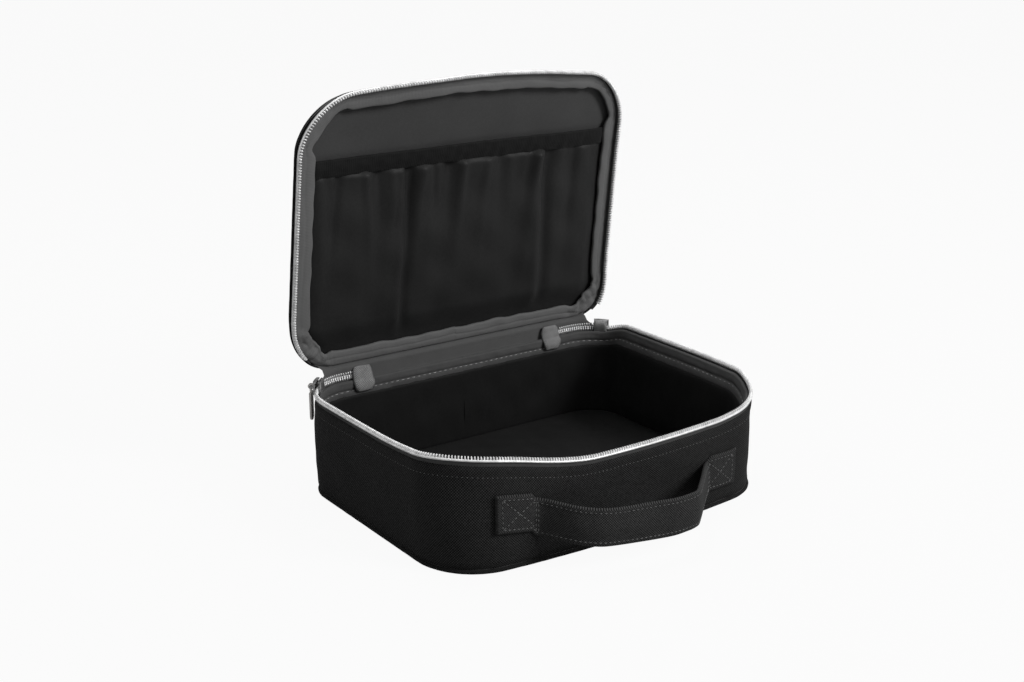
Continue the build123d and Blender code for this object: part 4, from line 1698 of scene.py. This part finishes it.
@dataclass
class Studio:
    """Floor, backdrop, lamps and the camera at the photograph's angle."""

    azimuth: float = -35.223
    elevation: float = 17.622
    distance: float = 1.10161
    target: tuple[float, float, float] = (0.04389, 0.09447, 0.07189)
    lens: float = 52.737
    floor_size: float = 6.0
    glow: float = 0.94
    ambient: float = 0.26
    lamps: tuple[tuple[str, tuple[float, float, float], float, float], ...] = (
        ("key", (0.9, -1.5, 1.3), 0.7, 33.5), ("fill", (-1.5, -0.8, 0.9), 1.2, 0.5),
        ("top", (0.0, 0.3, 1.8), 0.9, 13.0))

    def camera(self) -> None:
        """Place the camera: its target plus the distance back along the line of sight."""
        a, e = math.radians(self.azimuth), math.radians(self.elevation)
        back = Vector((math.sin(a) * math.cos(e), -math.cos(a) * math.cos(e), math.sin(e)))
        data = bpy.data.cameras.new("photo_camera")
        data.sensor_width = 36.0
        data.lens = self.lens
        data.clip_end = 50.0
        item = stood("photo_camera", data)
        item.location = Vector(self.target) + back * self.distance
        item.rotation_euler = (-back).to_track_quat("-Z", "Y").to_euler()
        bpy.context.scene.camera = item

    def stand(self) -> None:
        """A wide pale floor that shows as white but keeps the bag's shadow."""
        mesh = bpy.data.meshes.new("floor")
        size = self.floor_size
        corner = [(-size, -size, 0), (size, -size, 0), (size, size, 0), (-size, size, 0)]
        mesh.from_pydata(corner, [], [(0, 1, 2, 3)])
        shader = Shader("floor_white")
        shader.surfaced(Base_Color=(0.4, 0.4, 0.4), Roughness=0.9)
        path = shader.node("ShaderNodeLightPath")
        light = shader.node("ShaderNodeEmission", None, {"Color": (1.0, 1.0, 1.0), "Strength": 1.0})
        seen = Signal(shader, path.outputs["Is Camera Ray"]) * self.glow
        values = {0: seen, 1: shader.surface.outputs[0], 2: light.outputs[0]}
        mix = shader.node("ShaderNodeMixShader", None, values)
        shader.feed(shader.tree.nodes["Material Output"].inputs["Surface"], mix.outputs[0])
        mesh.materials.append(shader.material)
        stood("floor", mesh)

    def lamp(self, name: str, place: tuple[float, float, float], size: float, power: float) -> None:
        """An area lamp that faces the bag.

        Args:
            name: Name of the lamp.
            place: Where it stands, in metres.
            size: Length of its side, in metres.
            power: Its power, in watts.
        """
        data = bpy.data.lights.new(name, "AREA")
        data.size = size
        data.energy = power
        item = stood(name, data)
        item.location = place
        aim = Vector((0.0, 0.0, 0.1)) - Vector(place)
        item.rotation_euler = aim.to_track_quat("-Z", "Y").to_euler()

    def world(self) -> None:
        """Soft light from all round, white where the camera or a mirror sees it."""
        world = bpy.data.worlds.new("studio")
        bpy.context.scene.world = world
        world.use_nodes = True
        tree = world.node_tree
        path = tree.nodes.new("ShaderNodeLightPath")
        seen = tree.nodes.new("ShaderNodeMath")
        seen.operation = "MAXIMUM"
        strength = tree.nodes.new("ShaderNodeMath")
        strength.operation = "MULTIPLY_ADD"
        strength.inputs[1].default_value = 1 - self.ambient
        strength.inputs[2].default_value = self.ambient
        back = tree.nodes["Background"]
        back.inputs["Color"].default_value = (1.0, 1.0, 1.0, 1.0)
        for source, target in ((path.outputs["Is Camera Ray"], seen.inputs[0]),
                               (path.outputs["Is Glossy Ray"], seen.inputs[1]),
                               (seen.outputs[0], strength.inputs[0]),
                               (strength.outputs[0], back.inputs["Strength"])):
            tree.links.new(source, target)

    def build(self) -> None:
        """Set up the whole studio."""
        self.camera()
        self.stand()
        self.world()
        for lamp in self.lamps:
            self.lamp(*lamp)
        bpy.context.scene.view_settings.view_transform = "Standard"


def main() -> None:
    """Load the frame, build the bag in order and light it."""
    logging.basicConfig(level=logging.INFO, format="%(name)s %(message)s")
    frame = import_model()
    shop = Workshop()
    base = Base(shop)
    for part in (base, Lid(shop), Zip(shop), Handle(shop, base=base), Hardware(shop, frame=frame), Studio()):
        LOG.info("building %s", type(part).__name__)
        part.build()


if __name__ == "__main__":
    main()
